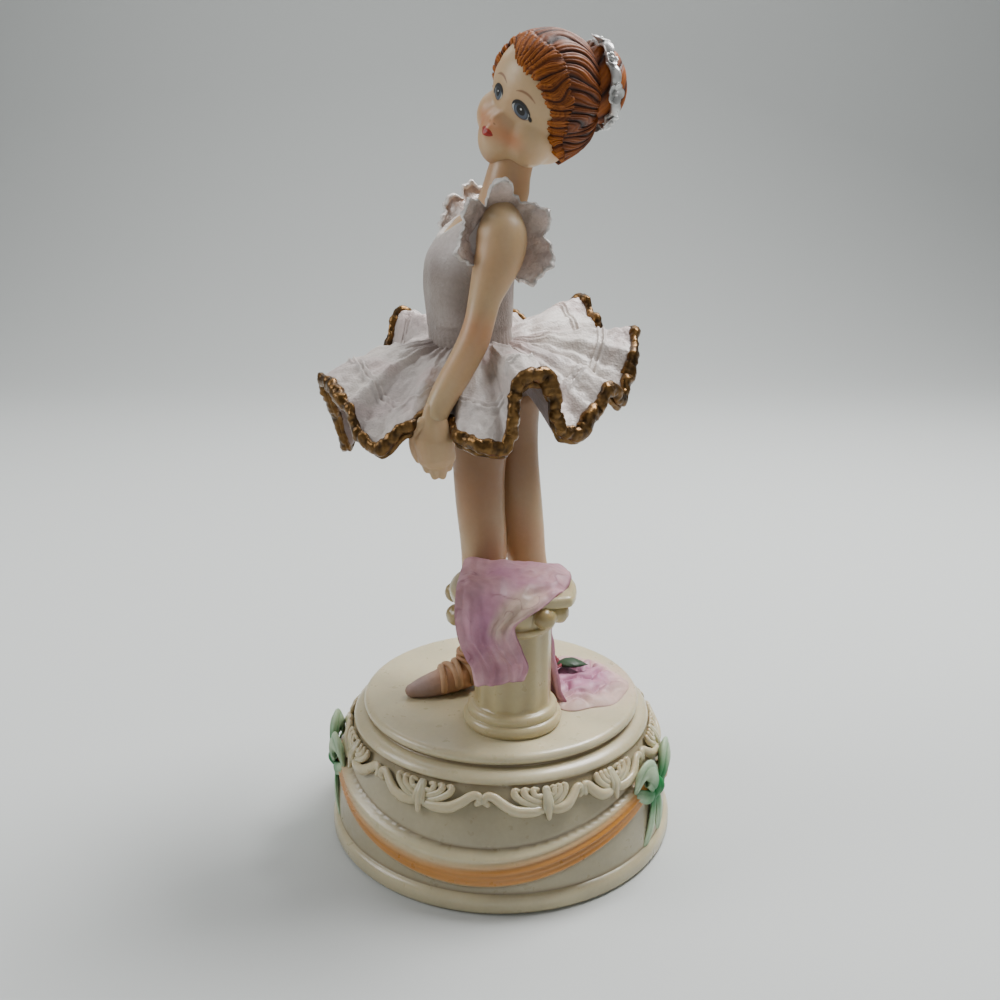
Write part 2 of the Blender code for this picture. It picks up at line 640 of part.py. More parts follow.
def bump(way, at, width):
    """A soft bump, 1 at the direction at and fading over width."""
    return math.exp(-((way - at.normalized()).length_squared) / (width * width))


def head_radius(way):
    """How far the head reaches along a direction (left, ahead, up) from the middle of the head."""
    weight, total = 0.0, 0.0
    for x, y, z, blob_r in HEAD_BLOBS:
        offset = Vector((x, y, z)) - HEAD_MIDDLE
        near = way.dot(offset)
        reach = near + math.sqrt(blob_r * blob_r - offset.length_squared + near * near)
        weight += reach ** 14
        total += reach ** 15
    radius = total / weight
    for side in (-1, 1):
        radius -= 0.5 * bump(way, Vector((side * 3.5, 7.6, 1.2)), 0.26)
    radius += 1.1 * bump(way, Vector((0, 8.6, -1.4)), 0.15)
    radius += 0.4 * bump(way, Vector((0, 8.0, 1.6)), 0.2)
    radius += 0.5 * bump(way, Vector((0, 9.4, -5.4)), 0.14)
    radius += 1.3 * bump(way, Vector((0, 3.4, -9.0)), 0.42)
    return radius


def hair_share(way):
    """1 under the hair and 0 on the face, for a direction from the middle of the head."""
    spot = (way * head_radius(way) + HEAD_MIDDLE).normalized()
    off_axis = math.degrees(math.acos(max(-1.0, min(1.0, spot.y))))
    edge = periodic(HAIRLINE, math.degrees(math.atan2(spot.x, spot.z)))[0]
    return smooth((off_axis - edge) / 6.0)


def hair_locks(way, bun_way):
    """Ridges of the combed locks, which run from the hairline to the bun."""
    side = bun_way.orthogonal().normalized()
    other = bun_way.cross(side)
    turn = math.atan2(way.dot(other), way.dot(side))
    far = math.acos(max(-1.0, min(1.0, way.dot(bun_way))))
    return math.sin(14 * turn + 1.5 * math.sin(3 * far))


def head():
    left, ahead, up = face_axes()
    bun_way = Vector((BUN_WAY.dot(left), BUN_WAY.dot(ahead), BUN_WAY.dot(up)))
    bm = bmesh.new()
    bmesh.ops.create_uvsphere(bm, u_segments=26, v_segments=16, radius=1.0)
    for vert in bm.verts:
        way = vert.co.normalized()
        hair = hair_share(way)
        radius = head_radius(way) + hair * (HAIR_THICK + 0.25 * hair_locks(way, bun_way))
        local = way * radius + HEAD_MIDDLE
        vert.co = figure_point(*(HEAD + left * local.x + ahead * local.y + up * local.z))
    return finish(bm, "head")


def bun():
    """The coiled bun with a wreath of small flowers round it."""
    side = BUN_WAY.orthogonal().normalized()
    other = BUN_WAY.cross(side)
    rings = []
    for far, radius in ((8.0, 6.6), (11.0, 7.1), (13.4, 6.6), (15.2, 5.0), (15.9, 2.6)):
        ring = []
        for i in range(14):
            turn = 2 * math.pi * i / 14
            lock = 1.0 + 0.05 * math.cos(6 * turn + far)
            spot = HEAD + BUN_WAY * far + (side * math.cos(turn) + other * math.sin(turn)) * radius * lock
            ring.append(figure_point(*spot))
        rings.append(ring)
    pieces = [finish(loft(rings), "bun")]
    rings = []
    count = 20
    for i in range(count):
        turn = 2 * math.pi * i / count
        spoke = side * math.cos(turn) + other * math.sin(turn)
        fat = 1.05 + 0.35 * math.cos(10 * turn)
        centre = HEAD + BUN_WAY * 11.5 + spoke * 7.9
        rings.append([figure_point(*p) for p in oval(centre, spoke * fat, BUN_WAY * fat, 5)])
    pieces.append(finish(loft(rings, ring_of_rings=True), "wreath"))
    return pieces


def paint(target):
    resin = bpy.data.materials.new("painted_resin")
    resin.use_nodes = True
    shader = resin.node_tree.nodes["Principled BSDF"]
    shader.inputs["Base Color"].default_value = (*RESIN_CREAM, 1.0)
    shader.inputs["Roughness"].default_value = 0.45
    shader.inputs["Metallic"].default_value = 0.0
    target.data.materials.append(resin)


def cast(core, pieces, name):
    """Joins the pieces to the core as one casting, with one union for each."""
    for piece in pieces:
        joined = core.modifiers.new(piece.name, "BOOLEAN")
        joined.operation = "UNION"
        joined.object = piece
        piece.hide_render = True
        piece.display_type = "WIRE"
    trim = core.modifiers.new("trim", "DECIMATE")
    trim.ratio = TRIM_SHARE
    core.name = name
    paint(core)


clear_scene()
ahead, left = facing_axes()
near_joint = Vector((0.1, -10.6, 102.4))
far_joint = Vector((-4.6, 9.4, 102.4))
pieces = [column(), abacus(), *volutes(), *column_cloth(), cloth_pool(), *rose()]
pieces += [torso(), skirt(), *legs(), *arms(), head(), *bun()]
pieces += [ruffle(near_joint, "near_ruffle", 1), ruffle(far_joint, "far_ruffle", -1)]
for bow_angle in BOW_ANGLES:
    pieces += bow(bow_angle)
cast(drum_base(), pieces, "figurine")
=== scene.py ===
import math

import bmesh
import bpy
from mathutils import Matrix, Vector, noise
from mathutils.kdtree import KDTree


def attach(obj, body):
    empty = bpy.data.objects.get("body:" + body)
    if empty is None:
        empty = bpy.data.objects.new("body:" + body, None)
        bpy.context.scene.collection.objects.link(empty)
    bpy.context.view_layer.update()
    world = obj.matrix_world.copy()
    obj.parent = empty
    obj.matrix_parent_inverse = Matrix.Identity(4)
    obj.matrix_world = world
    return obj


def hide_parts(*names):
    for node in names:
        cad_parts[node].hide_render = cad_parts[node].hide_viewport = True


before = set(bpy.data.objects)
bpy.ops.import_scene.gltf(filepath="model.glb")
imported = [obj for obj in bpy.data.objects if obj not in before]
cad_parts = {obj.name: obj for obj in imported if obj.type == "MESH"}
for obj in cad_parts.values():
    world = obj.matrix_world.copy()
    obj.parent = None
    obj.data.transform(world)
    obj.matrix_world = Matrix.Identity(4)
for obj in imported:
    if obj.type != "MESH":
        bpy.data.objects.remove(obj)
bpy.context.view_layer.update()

# The figurine's carved and painted surface, piece by piece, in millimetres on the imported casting.
# The origin is the middle of the underside and +Z is up.
MM = 0.001
UP = Vector((0, 0, 1))


# Small helpers
def srgb(red, green, blue):
    """A paint colour of 0 to 255 a channel as linear light."""
    parts = []
    for value in (red, green, blue):
        share = value / 255.0
        parts.append(share / 12.92 if share <= 0.04045 else ((share + 0.055) / 1.055) ** 2.4)
    return tuple(parts)


def smooth(value):
    value = min(1.0, max(0.0, value))
    return value * value * (3.0 - 2.0 * value)


def mix(first, second, share):
    return first + (second - first) * share


def tint(first, second, share):
    """The first colour moved towards the second."""
    share = min(1.0, max(0.0, share))
    return tuple(mix(a, b, share) for a, b in zip(first, second))


def grain(spot, size, seed=0.0):
    """Smooth noise from -1 to 1 with features about size millimetres wide."""
    return noise.noise(Vector(spot) / size + Vector((seed, seed * 1.7, -seed)))


def ridge(value):
    """Rounded ridges from 0 to 1 with sharp valleys between, one for each whole number."""
    return abs(math.cos(math.pi * value)) ** 0.55


def periodic(knots, angle):
    """Values at an angle in degrees, eased between knots (angle, value, value...) round a circle."""
    knots = sorted((k[0] % 360.0, *k[1:]) for k in knots)
    angle = angle % 360.0
    before = [k for k in knots if k[0] <= angle]
    start = before[-1] if before else knots[-1]
    after = [k for k in knots if k[0] > angle]
    end = after[0] if after else knots[0]
    span = (end[0] - start[0]) % 360.0 or 360.0
    share = smooth(((angle - start[0]) % 360.0) / span)
    return [mix(a, b, share) for a, b in zip(start[1:], end[1:])]


def along(points, share):
    """A point of a smooth curve through points, each a tuple of any length; share runs 0 to 1."""
    place = share * (len(points) - 1)
    i = min(int(place), len(points) - 2)
    t = place - i
    a, b = points[max(i - 1, 0)], points[i]
    c, d = points[i + 1], points[min(i + 2, len(points) - 1)]
    spot = []
    for p, q, r, s in zip(a, b, c, d):
        square = (2 * p - 5 * q + 4 * r - s) * t * t
        cube = (3 * q - p - 3 * r + s) * t ** 3
        spot.append(0.5 * (2 * q + (r - p) * t + square + cube))
    return spot


# Meshes
def surface(columns, rows, place, wrap=False):
    """A grid bent to place(across, down), which gives a point and a colour; wrap closes it round."""
    bm = bmesh.new()
    bmesh.ops.create_grid(bm, x_segments=columns, y_segments=rows, size=0.5)
    paint = bm.verts.layers.float_color.new("paint")
    for vert in bm.verts:
        spot, colour = place(min(1.0, max(0.0, vert.co.x + 0.5)), min(1.0, max(0.0, vert.co.y + 0.5)))
        vert.co = spot
        vert[paint] = (*colour, 1.0)
    if wrap:
        edge = [v for v in bm.verts if v.is_boundary]
        bmesh.ops.remove_doubles(bm, verts=edge, dist=0.0005)
    return bm


def close(bm):
    """Fills the open ends of a tube."""
    rim = [e for e in bm.edges if e.is_boundary]
    bmesh.ops.holes_fill(bm, edges=rim, sides=0)


def tube(path, radii, sides, colour, flat=1.0, hint=UP, shape=None):
    """A closed tube along a path. flat squeezes it along hint, and shape(across, down) scales it."""
    frames = []
    for i, centre in enumerate(path):
        ahead = (path[min(i + 1, len(path) - 1)] - path[max(i - 1, 0)]).normalized()
        deep = (hint - ahead * hint.dot(ahead)).normalized()
        frames.append((centre, ahead.cross(deep), deep))

    def place(across, down):
        i = round(down * (len(path) - 1))
        centre, wide, deep = frames[i]
        turn = 2 * math.pi * across
        out = radii[i] * (shape(across, down) if shape else 1.0)
        spot = centre + wide * (math.cos(turn) * out) + deep * (math.sin(turn) * out * flat)
        return spot, colour(across, down, spot) if callable(colour) else colour

    bm = surface(sides, len(path) - 1, place, wrap=True)
    close(bm)
    return bm


def rounded(points, steps):
    """A path and radii through points (x, y, z, radius), with both ends rounded off."""
    path, radii = [], []
    for i in range(steps):
        x, y, z, radius = along(points, i / (steps - 1))
        path.append(Vector((x, y, z)))
        radii.append(radius)
    for end in (0, -1):
        ahead = (path[end] - path[1 if end == 0 else -2]).normalized()
        centre, radius = path[end].copy(), radii[end]
        for share in (0.5, 0.8, 0.96):
            spot, size = centre + ahead * radius * share, radius * math.sqrt(1 - share * share)
            if end == 0:
                path.insert(0, spot)
                radii.insert(0, size)
            else:
                path.append(spot)
                radii.append(size)
    return path, radii


def rod(points, steps, sides, colour, flat=1.0, hint=UP, shape=None, lift=0.0):
    """A tube with rounded ends through points (x, y, z, radius), raised by lift."""
    path, radii = rounded(points, steps)
    path = [Vector((spot.x, spot.y, spot.z + lift)) for spot in path]
    return tube(path, radii, sides, colour, flat, hint, shape)


def square_to(way):
    """Two directions square to a way and to each other."""
    side = way.orthogonal().normalized()
    return side, way.cross(side)


def around(side, other, turn):
    return side * math.cos(turn) + other * math.sin(turn)


def turned(radius, turn, z):
    """A point of a turned body."""
    return Vector((radius * math.cos(turn), radius * math.sin(turn), z))


def join(meshes):
    """Several bmeshes as one."""
    whole = meshes[0]
    for bm in meshes[1:]:
        part = bpy.data.meshes.new("part")
        bm.to_mesh(part)
        bm.free()
        whole.from_mesh(part)
        bpy.data.meshes.remove(part)
    return whole


def crevice_wash_and_shade(bm, shade, amount, rounds=2):
    """Darkens the crevices towards a shade colour: painted shade where the hollows lie in shadow, together
    with the thin paint wash that settles there.
    """
    bm.normal_update()
    depth = {}
    for vert in bm.verts:
        total, length = 0.0, 1e-9
        for edge in vert.link_edges:
            step = edge.other_vert(vert).co - vert.co
            total += step.dot(vert.normal)
            length += step.length
        depth[vert] = total / length
    for _ in range(rounds):
        spread = {}
        for vert in bm.verts:
            near = [depth[e.other_vert(vert)] for e in vert.link_edges]
            spread[vert] = (depth[vert] + sum(near)) / (1 + len(near))
        depth = spread
    paint = bm.verts.layers.float_color["paint"]
    for vert in bm.verts:
        share = min(0.85, max(0.0, depth[vert] * amount))
        vert[paint] = (*tint(vert[paint][:3], shade, share), 1.0)


def piece(bm, name, material):
    """Makes a piece of the figurine from a bmesh drawn in millimetres."""
    bmesh.ops.scale(bm, vec=(MM, MM, MM), verts=bm.verts)
    bmesh.ops.recalc_face_normals(bm, faces=bm.faces)
    mesh = bpy.data.meshes.new(name)
    bm.to_mesh(mesh)
    bm.free()
    mesh.shade_smooth()
    made = bpy.data.objects.new(name, mesh)
    bpy.context.collection.objects.link(made)
    made.data.materials.append(material)
    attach(made, "root")
    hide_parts("figurine")
    return made


def bent_piece(name, columns, rows, place, material, shade=None, depth=0.0, closed=True):
    """A piece that is one surface bent to place(across, down), with a shade in its crevices."""
    bm = surface(columns, rows, place, wrap=True)
    if closed:
        close(bm)
    if shade:
        crevice_wash_and_shade(bm, shade, depth)
    piece(bm, name, material)


def joined_piece(name, made, material, shade, depth, rounds=2):
    """A piece of several bmeshes, with a shade in its crevices."""
    bm = join(made)
    crevice_wash_and_shade(bm, shade, depth, rounds)
    piece(bm, name, material)


def fused(bm, name, material, voxel, rounds):
    """Fuses overlapping forms into one skin, softens the joints and paints it again by nearness."""
    source = piece(bm, name, material)
    fuse = source.modifiers.new("fuse", "REMESH")
    fuse.mode = "VOXEL"
    fuse.voxel_size = voxel * MM
    soften = source.modifiers.new("soften", "SMOOTH")
    soften.iterations = rounds
    graph = bpy.context.evaluated_depsgraph_get()
    skin = bpy.data.meshes.new_from_object(source.evaluated_get(graph))
    old = source.data
    near = KDTree(len(old.vertices))
    for vert in old.vertices:
        near.insert(vert.co, vert.index)
    near.balance()
    colours = old.attributes["paint"].data
    for made in [a for a in skin.attributes if a.name == "paint"]:
        skin.attributes.remove(made)
    paint = skin.attributes.new("paint", "FLOAT_COLOR", "POINT")
    for vert in skin.vertices:
        paint.data[vert.index].color = colours[near.find(vert.co)[1]].color
    source.modifiers.clear()
    source.data = skin
    skin.shade_smooth()
    if not skin.materials:
        skin.materials.append(material)
    return source


# Materials
def resin(name, roughness, coat, mottle, speck, bump, metallic=0.0, weave=0.0, wax=0.0):
    """Painted resin: the brushed colour from the paint attribute, with mottling, specks and grain."""
    made = bpy.data.materials.new(name)
    made.use_nodes = True
    nodes, links = made.node_tree.nodes, made.node_tree.links
    shader = nodes["Principled BSDF"]
    paint = nodes.new("ShaderNodeAttribute")
    paint.attribute_name = "paint"
    place = nodes.new("ShaderNodeTexCoord")

    def cloudy(size, detail):
        cloud = nodes.new("ShaderNodeTexNoise")
        cloud.inputs["Scale"].default_value = 1.0 / (size * MM)
        cloud.inputs["Detail"].default_value = detail
        links.new(place.outputs["Object"], cloud.inputs["Vector"])
        return cloud.outputs["Fac"]

    def ranged(value, low, high):
        spread = nodes.new("ShaderNodeMapRange")
        spread.inputs["From Min"].default_value = 0.3
        spread.inputs["From Max"].default_value = 0.7
        spread.inputs["To Min"].default_value = low
        spread.inputs["To Max"].default_value = high
        links.new(value, spread.inputs["Value"])
        return spread.outputs["Result"]

    def dimmed(colour, value):
        blend = nodes.new("ShaderNodeMix")
        blend.data_type = "RGBA"
        blend.blend_type = "MULTIPLY"
        blend.inputs["Factor"].default_value = 1.0
        links.new(colour, blend.inputs["A"])
        links.new(value, blend.inputs["B"])
        return blend.outputs["Result"]

    colour = dimmed(paint.outputs["Color"], ranged(cloudy(7.0, 3.0), 1.0 - mottle, 1.0 + mottle * 0.5))
    colour = dimmed(colour, ranged(cloudy(0.9, 4.0), 1.0 - speck, 1.0 + speck * 0.5))
    links.new(colour, shader.inputs["Base Color"])
    rough = ranged(cloudy(2.2, 3.0), roughness - 0.08, roughness + 0.1)
    links.new(rough, shader.inputs["Roughness"])
    height = cloudy(0.55, 5.0)
    if weave:
        threads = nodes.new("ShaderNodeTexVoronoi")
        threads.inputs["Scale"].default_value = 1.0 / (weave * MM)
        links.new(place.outputs["Object"], threads.inputs["Vector"])
        height = dimmed(threads.outputs["Distance"], height)
    relief = nodes.new("ShaderNodeBump")
    relief.inputs["Strength"].default_value = bump
    relief.inputs["Distance"].default_value = 0.25 * MM
    links.new(height, relief.inputs["Height"])
    links.new(relief.outputs["Normal"], shader.inputs["Normal"])
    shader.inputs["Metallic"].default_value = metallic
    shader.inputs["Coat Weight"].default_value = coat
    shader.inputs["Subsurface Weight"].default_value = wax
    shader.inputs["Subsurface Radius"].default_value = (1.0, 0.55, 0.3)
    shader.inputs["Subsurface Scale"].default_value = 1.6 * MM
    shader.inputs["Coat Roughness"].default_value = 0.18
    shader.inputs["IOR"].default_value = 1.4 if coat == 0.0 else 1.5
    return made


# Colours of the paints
CREAM = srgb(206, 194, 158)
CREAM_SHADE = srgb(104, 76, 40)
BASE_WALL = srgb(158, 148, 122)
ORANGE = srgb(196, 122, 0)
GREEN = srgb(0, 120, 54)
GREEN_PALE = srgb(186, 208, 172)
COLUMN_YELLOW = srgb(176, 158, 110)
COLUMN_SHADE = srgb(112, 80, 28)
LILAC = srgb(180, 124, 150)
LILAC_PALE = srgb(206, 164, 164)
LILAC_DEEP = srgb(112, 38, 74)
SKIN = srgb(198, 172, 132)
SKIN_PEACH = srgb(206, 122, 72)
SKIN_SHADE = srgb(120, 76, 36)
DRESS = srgb(214, 206, 198)
DRESS_LILAC = srgb(164, 148, 148)
DRESS_SHADE = srgb(98, 78, 64)
DRESS_PINK = srgb(206, 172, 160)
GOLD = srgb(118, 86, 44)
GOLD_DARK = srgb(38, 25, 12)
HAIR = srgb(122, 58, 4)
HAIR_DARK = srgb(38, 11, 2)
HAIR_HIGHLIGHT = srgb(182, 104, 28)
SILVER = srgb(208, 208, 206)
ROSE = srgb(112, 16, 34)
LEAF = srgb(24, 56, 22)
SHOE = srgb(164, 140, 132)
RIBBON = srgb(190, 142, 104)
DISC_PINK = srgb(214, 176, 172)
LEAF_SHADE = srgb(18, 26, 12)
DRESS_BLUSH = srgb(206, 178, 176)
RIM_GLINT = srgb(232, 230, 226)
SILVER_SHADE = srgb(84, 76, 70)
PETAL_SHADE = (0.02, 0.01, 0.01)
EYE_CATCHLIGHT = (0.9, 0.9, 0.88)
RESIN_CREAM = resin("resin_cream", 0.34, 0.3, 0.07, 0.04, 0.06, wax=0.25)
RESIN_SKIN = resin("resin_skin", 0.46, 0.1, 0.06, 0.03, 0.06, wax=0.3)
RESIN_CLOTH = resin("resin_cloth", 0.56, 0.05, 0.12, 0.06, 0.2, wax=0.1)
RESIN_DRESS = resin("resin_dress", 0.5, 0.12, 0.08, 0.1, 0.6, weave=0.5)
RESIN_GLITTER = resin("resin_glitter", 0.3, 0.4, 0.08, 0.12, 0.9, weave=0.5)
RESIN_HAIR = resin("resin_hair", 0.58, 0.0, 0.14, 0.08, 0.2)
RESIN_GOLD = resin("resin_gold", 0.34, 0.1, 0.2, 0.2, 0.8, metallic=0.8, weave=0.9)
RESIN_SILVER = resin("resin_silver", 0.3, 0.2, 0.1, 0.1, 0.2, metallic=0.45)


# Drum base, a turned body
LIP_H = 4.2
BASE_H = 32.0
WALL_FOOT_R = 38.7
WALL_TOP_R = 33.8
WALL_BELLY = 0.7
LEDGE_Z = 26.6
BOW_ANGLES = (-28.0, 80.0, 188.0)
SWAG_RELIEF = 1.9
SWAG_WIDTH = 8.0
SWAG_DROP = 9.0
SWAG_TOP = 19.0
BOW_Z = 17.0
BOW_SIZE = 7.424
LIP_PROFILE = (
    (36.0, 0.0), (38.6, 0.0), (39.6, 0.3), (40.0, 1.0), (40.0, 2.8), (39.8, 3.5), (39.3, 4.0), (38.9, 4.2),
)
LEDGE_PROFILE = (
    (33.9, 26.6), (34.2, 26.8), (34.3, 27.2), (34.2, 27.6), (33.8, 28.1), (33.2, 28.5), (32.4, 28.8),
    (31.6, 28.9), (31.1, 29.0), (30.9, 29.2), (30.95, 29.5), (31.3, 29.8), (31.7, 30.2), (31.85, 30.7),
    (31.8, 31.2), (31.5, 31.6), (31.0, 31.9), (30.4, 32.0), (28.0, 32.05), (24.0, 32.0), (18.0, 32.0),
    (12.0, 32.0), (6.0, 32.0), (0.05, 32.0),
)


def wall_radius(z):
    share = min(1.0, max(0.0, (z - LIP_H) / (LEDGE_Z - LIP_H)))
    return mix(WALL_FOOT_R, WALL_TOP_R, share ** 1.5) + WALL_BELLY * math.sin(math.pi * share)


def swag_place(angle, z):
    """Where a point of the wall lies on the swags: share from bow to bow, and -1 to 1 across."""
    bows = sorted(a % 360.0 for a in BOW_ANGLES)
    for start, end in zip(bows, bows[1:] + [bows[0] + 360.0]):
        share = ((angle - start) % 360.0) / (end - start)
        if share <= 1.0:
            break
    hang = math.sin(math.pi * share)
    middle = SWAG_TOP - SWAG_DROP * hang ** 1.2
    half = SWAG_WIDTH / 2 * (0.5 + 0.5 * hang)
    return share, (z - middle) / half


SWAG_FOLDS = ((0.72, 0.2, 1.0), (0.34, 0.16, 0.75), (0.0, 0.2, 0.85), (-0.36, 0.15, 0.7), (-0.7, 0.22, 0.9))


def wall_point(angle, z):
    """A point of the carved wall with its paint."""
    share, across = swag_place(angle, z)
    radius = wall_radius(z)
    turn = math.radians(angle)
    spot = turned(radius, turn, z)
    cloudy = 0.5 + 0.5 * grain(spot, 12.0, 3.0)
    colour = tint(BASE_WALL, CREAM, 0.35 * cloudy)
    late = smooth(share * 1.6 - 0.45) + 0.7 * smooth(1.4 - share * 6.0)
    ends = smooth(abs(share - 0.5) * 3.2 - 0.9)
    above = smooth((across - 0.7) / 0.5) * smooth((2.4 - across) / 1.4)
    colour = tint(colour, ORANGE, 0.3 * ends * above)
    if abs(across) < 1.0:
        body = (1.0 - across * across) ** 0.42
        bend = across + 0.13 * math.sin(5.0 * share + 0.6) + 0.05 * math.sin(14.0 * share)
        folds = max(height * math.exp(-((bend - at) / width) ** 2) for at, width, height in SWAG_FOLDS)
        folds = mix(0.75, folds, 0.4 + 0.6 * smooth(abs(share - 0.42) * 3.0))
        radius += SWAG_RELIEF * body * (0.45 + 0.55 * folds)
        low = smooth(0.6 - across * 1.3 + 0.8 * late)
        paint = tint(CREAM, ORANGE, low * (0.75 + 0.2 * folds))
        paint = tint(paint, tint(ORANGE, CREAM_SHADE, 0.55), 0.6 * low * (1.0 - folds))
        paint = tint(paint, tint(ORANGE, CREAM, 0.25), 0.35 * ends)
        paint = tint(paint, CREAM, 0.75 * smooth((-0.62 - across) / 0.3) * (1 - late))
        colour = tint(colour, paint, min(1.0, body * 1.4))
    else:
        radius -= 0.2 * smooth(1.0 - (abs(across) - 1.0) * 4.0)
        colour = tint(colour, CREAM_SHADE, 0.3 * smooth(1.0 - (abs(across) - 1.0) * 5.0))
    colour = tint(colour, CREAM_SHADE, 0.35 * smooth((LIP_H + 1.2 - z) / 1.2))
    colour = tint(colour, CREAM_SHADE, 0.35 * smooth((z - LEDGE_Z + 1.6) / 1.6))
    return turned(radius, turn, z), colour


def drum():
    """The turned base: lip, carved wall, ledge, cove and the disc that the dancer stands on."""
    wall_rows = 64
    first, last = len(LIP_PROFILE), len(LIP_PROFILE) + wall_rows
    rows = last + len(LEDGE_PROFILE)

    def place(across, down):
        i = round(down * (rows - 1))
        angle = 360.0 * across
        turn = math.radians(angle)
        if first <= i < last:
            z = mix(LIP_H + 0.1, LEDGE_Z - 0.1, (i - first) / (wall_rows - 1))
            return wall_point(angle, z)
        radius, z = LIP_PROFILE[i] if i < first else LEDGE_PROFILE[i - last]
        spot = turned(radius, turn, z)
        if radius < 30.0:
            spot.z += 0.12 * grain(spot, 9.0, 5.0)
        colour = tint(CREAM, BASE_WALL, 0.3 + 0.3 * grain(spot, 11.0, 1.0))
        if i >= last and radius < 31.3 and z < 30.0:
            colour = tint(colour, CREAM_SHADE, 0.4)
        if z > 31.0:
            pink = smooth(1.2 - Vector((spot.x - 20.0, spot.y - 2.0, 0)).length / 14.0)
            colour = tint(colour, DISC_PINK, 0.75 * pink)
        return spot, colour

    bent_piece("drum_base", 480, rows - 1, place, RESIN_CREAM, CREAM_SHADE, 3.0)


# Frieze of scrolls under the ledge, each motif from one leaf to the next
LEAF_ANGLES = (242.4, 285.2, 311.0, 347.0, 23.0, 59.0, 95.0, 131.0, 167.0, 205.0)
S_SCROLL = (
    (0.04, 4.6, 0.7, 0.9), (0.13, 4.7, 1.0, 1.15), (0.25, 4.3, 1.1, 1.2), (0.34, 3.1, 1.0, 1.1),
    (0.41, 1.9, 0.9, 1.0), (0.46, 1.7, 0.9, 0.95), (0.485, 2.5, 0.9, 0.9), (0.46, 3.2, 0.7, 0.7),
)
# Reach or lean as a share of the motif, drop and radius
FEATHERS = ((0.09, 2.4, 0.65), (0.16, 3.3, 0.75), (0.235, 4.1, 0.75))
LEAF_LOBES = ((-0.035, 4.9, 0.75), (0.0, 6.2, 0.95), (0.035, 4.9, 0.75))


def scroll(start, end, points, steps):
    """A scroll on the wall through points (share of the motif, drop below the ledge, out, radius)."""
    spots = []
    for share, drop, out, radius in points:
        angle = math.radians(mix(start, end, share))
        z = LEDGE_Z - drop
        reach = wall_radius(z) + out
        spots.append((reach * math.cos(angle), reach * math.sin(angle), z, radius))
    path, radii = rounded(spots, steps)
    middle = path[len(path) // 2]
    out = Vector((middle.x, middle.y, 0)).normalized()
    return tube(path, radii, 12, CREAM, 0.75, out)


def frieze():
    """S-scrolls in mirrored pairs with a hanging leaf between the pairs."""
    made = []
    for i, start in enumerate(LEAF_ANGLES):
        end = LEAF_ANGLES[(i + 1) % len(LEAF_ANGLES)]
        end = start + ((end - start) % 360.0)
        for flip in (False, True):
            a, b = (end, start) if flip else (start, end)
            made.append(scroll(a, b, S_SCROLL, 24))
            for reach, drop, size in FEATHERS:
                rib = [(reach - 0.02, 0.9, 0.6, 0.5), (reach + 0.02, 0.7, 1.0, size)]
                rib += [(reach, 1.9, 1.1, size), (reach * 0.55, drop * 0.85, 1.0, size)]
                rib += [(0.02, drop, 0.7, 0.5)]
                made.append(scroll(a, b, rib, 18))
        for lean, drop, size in LEAF_LOBES:
            lobe = [(lean * 0.3, 0.9, 0.8, 0.7), (lean * 0.8, 3.2, 1.5, size)]
            lobe += [(lean * 1.2, drop, 1.0, size * 0.55)]
            made.append(scroll(start, end, lobe, 12))
    joined_piece("scroll_frieze", made, RESIN_CREAM, CREAM_SHADE, 1.2, 1)


# Ribbons of a bow through points (aside, up, out, radius)
BOW_LOOP = (
    (0.05, 0.0, 0.2, 1.3), (0.35, 0.32, 0.9, 2.3), (0.68, 0.75, 0.5, 3.0), (0.9, 0.72, -0.5, 2.6),
    (1.0, 0.36, -1.2, 1.4),
)
BOW_LOWER = ((0.05, -0.1, 0.3, 0.9), (0.5, -0.12, 0.5, 1.6), (0.95, 0.1, -0.7, 1.4))
BOW_TAIL = ((0.05, -0.13, 0.3, 1.0), (0.26, -0.7, 0.6, 1.5), (0.36, -1.2, 0.5, 1.9), (0.5, -1.6, 0.1, 1.6))
BOW_KNOT = ((0.0, 0.3, 0.2, 1.0), (0.0, 0.02, 0.9, 1.75), (0.0, -0.3, 0.2, 1.0))
# Each mirrored ribbon with its steps, flatness and creases
BOW_RIBBONS = ((BOW_LOOP, 22, 0.42, 4), (BOW_LOWER, 14, 0.4, 3), (BOW_TAIL, 18, 0.34, 3))


def bow(index, angle):
    """A ribbon bow tied over the meeting of two swags, with creased loops, knot and tails."""
    turn = math.radians(angle)
    out = Vector((math.cos(turn), math.sin(turn), 0))
    side_way = Vector((-math.sin(turn), math.cos(turn), 0))
    reach = wall_radius(BOW_Z) + 1.1
    knot = turned(reach, turn, BOW_Z)
    made = []

    def ribbon(course, steps, flat, creases):
        spots = []
        for a, u, o, radius in course:
            spot = knot + side_way * a * BOW_SIZE + UP * u * BOW_SIZE + out * o
            spots.append((*spot, radius))

        def crease(across, down):
            lines = ridge(creases * across)
            return 1.0 - 0.22 * (1.0 - lines) * smooth(1.2 - down)

        def colour(across, down, spot):
            away = (spot - knot).length / (BOW_SIZE * 1.15)
            green = tint(GREEN, GREEN_PALE, smooth(away * 1.3 - 0.42))
            # Painted shade in the creases of the ribbon.
            return tint(green, tint(GREEN, HAIR_DARK, 0.3), 0.5 * (1.0 - ridge(creases * across)))

        made.append(rod(spots, steps, 40, colour, flat, out, crease))

    for side in (-1, 1):
        for course, steps, flat, creases in BOW_RIBBONS:
            ribbon([(side * a, u, o, radius) for a, u, o, radius in course], steps, flat, creases)
    ribbon(BOW_KNOT, 12, 0.85, 3)
    joined_piece(f"bow_{index}", made, RESIN_CLOTH, tint(GREEN, HAIR_DARK, 0.5), 1.4)


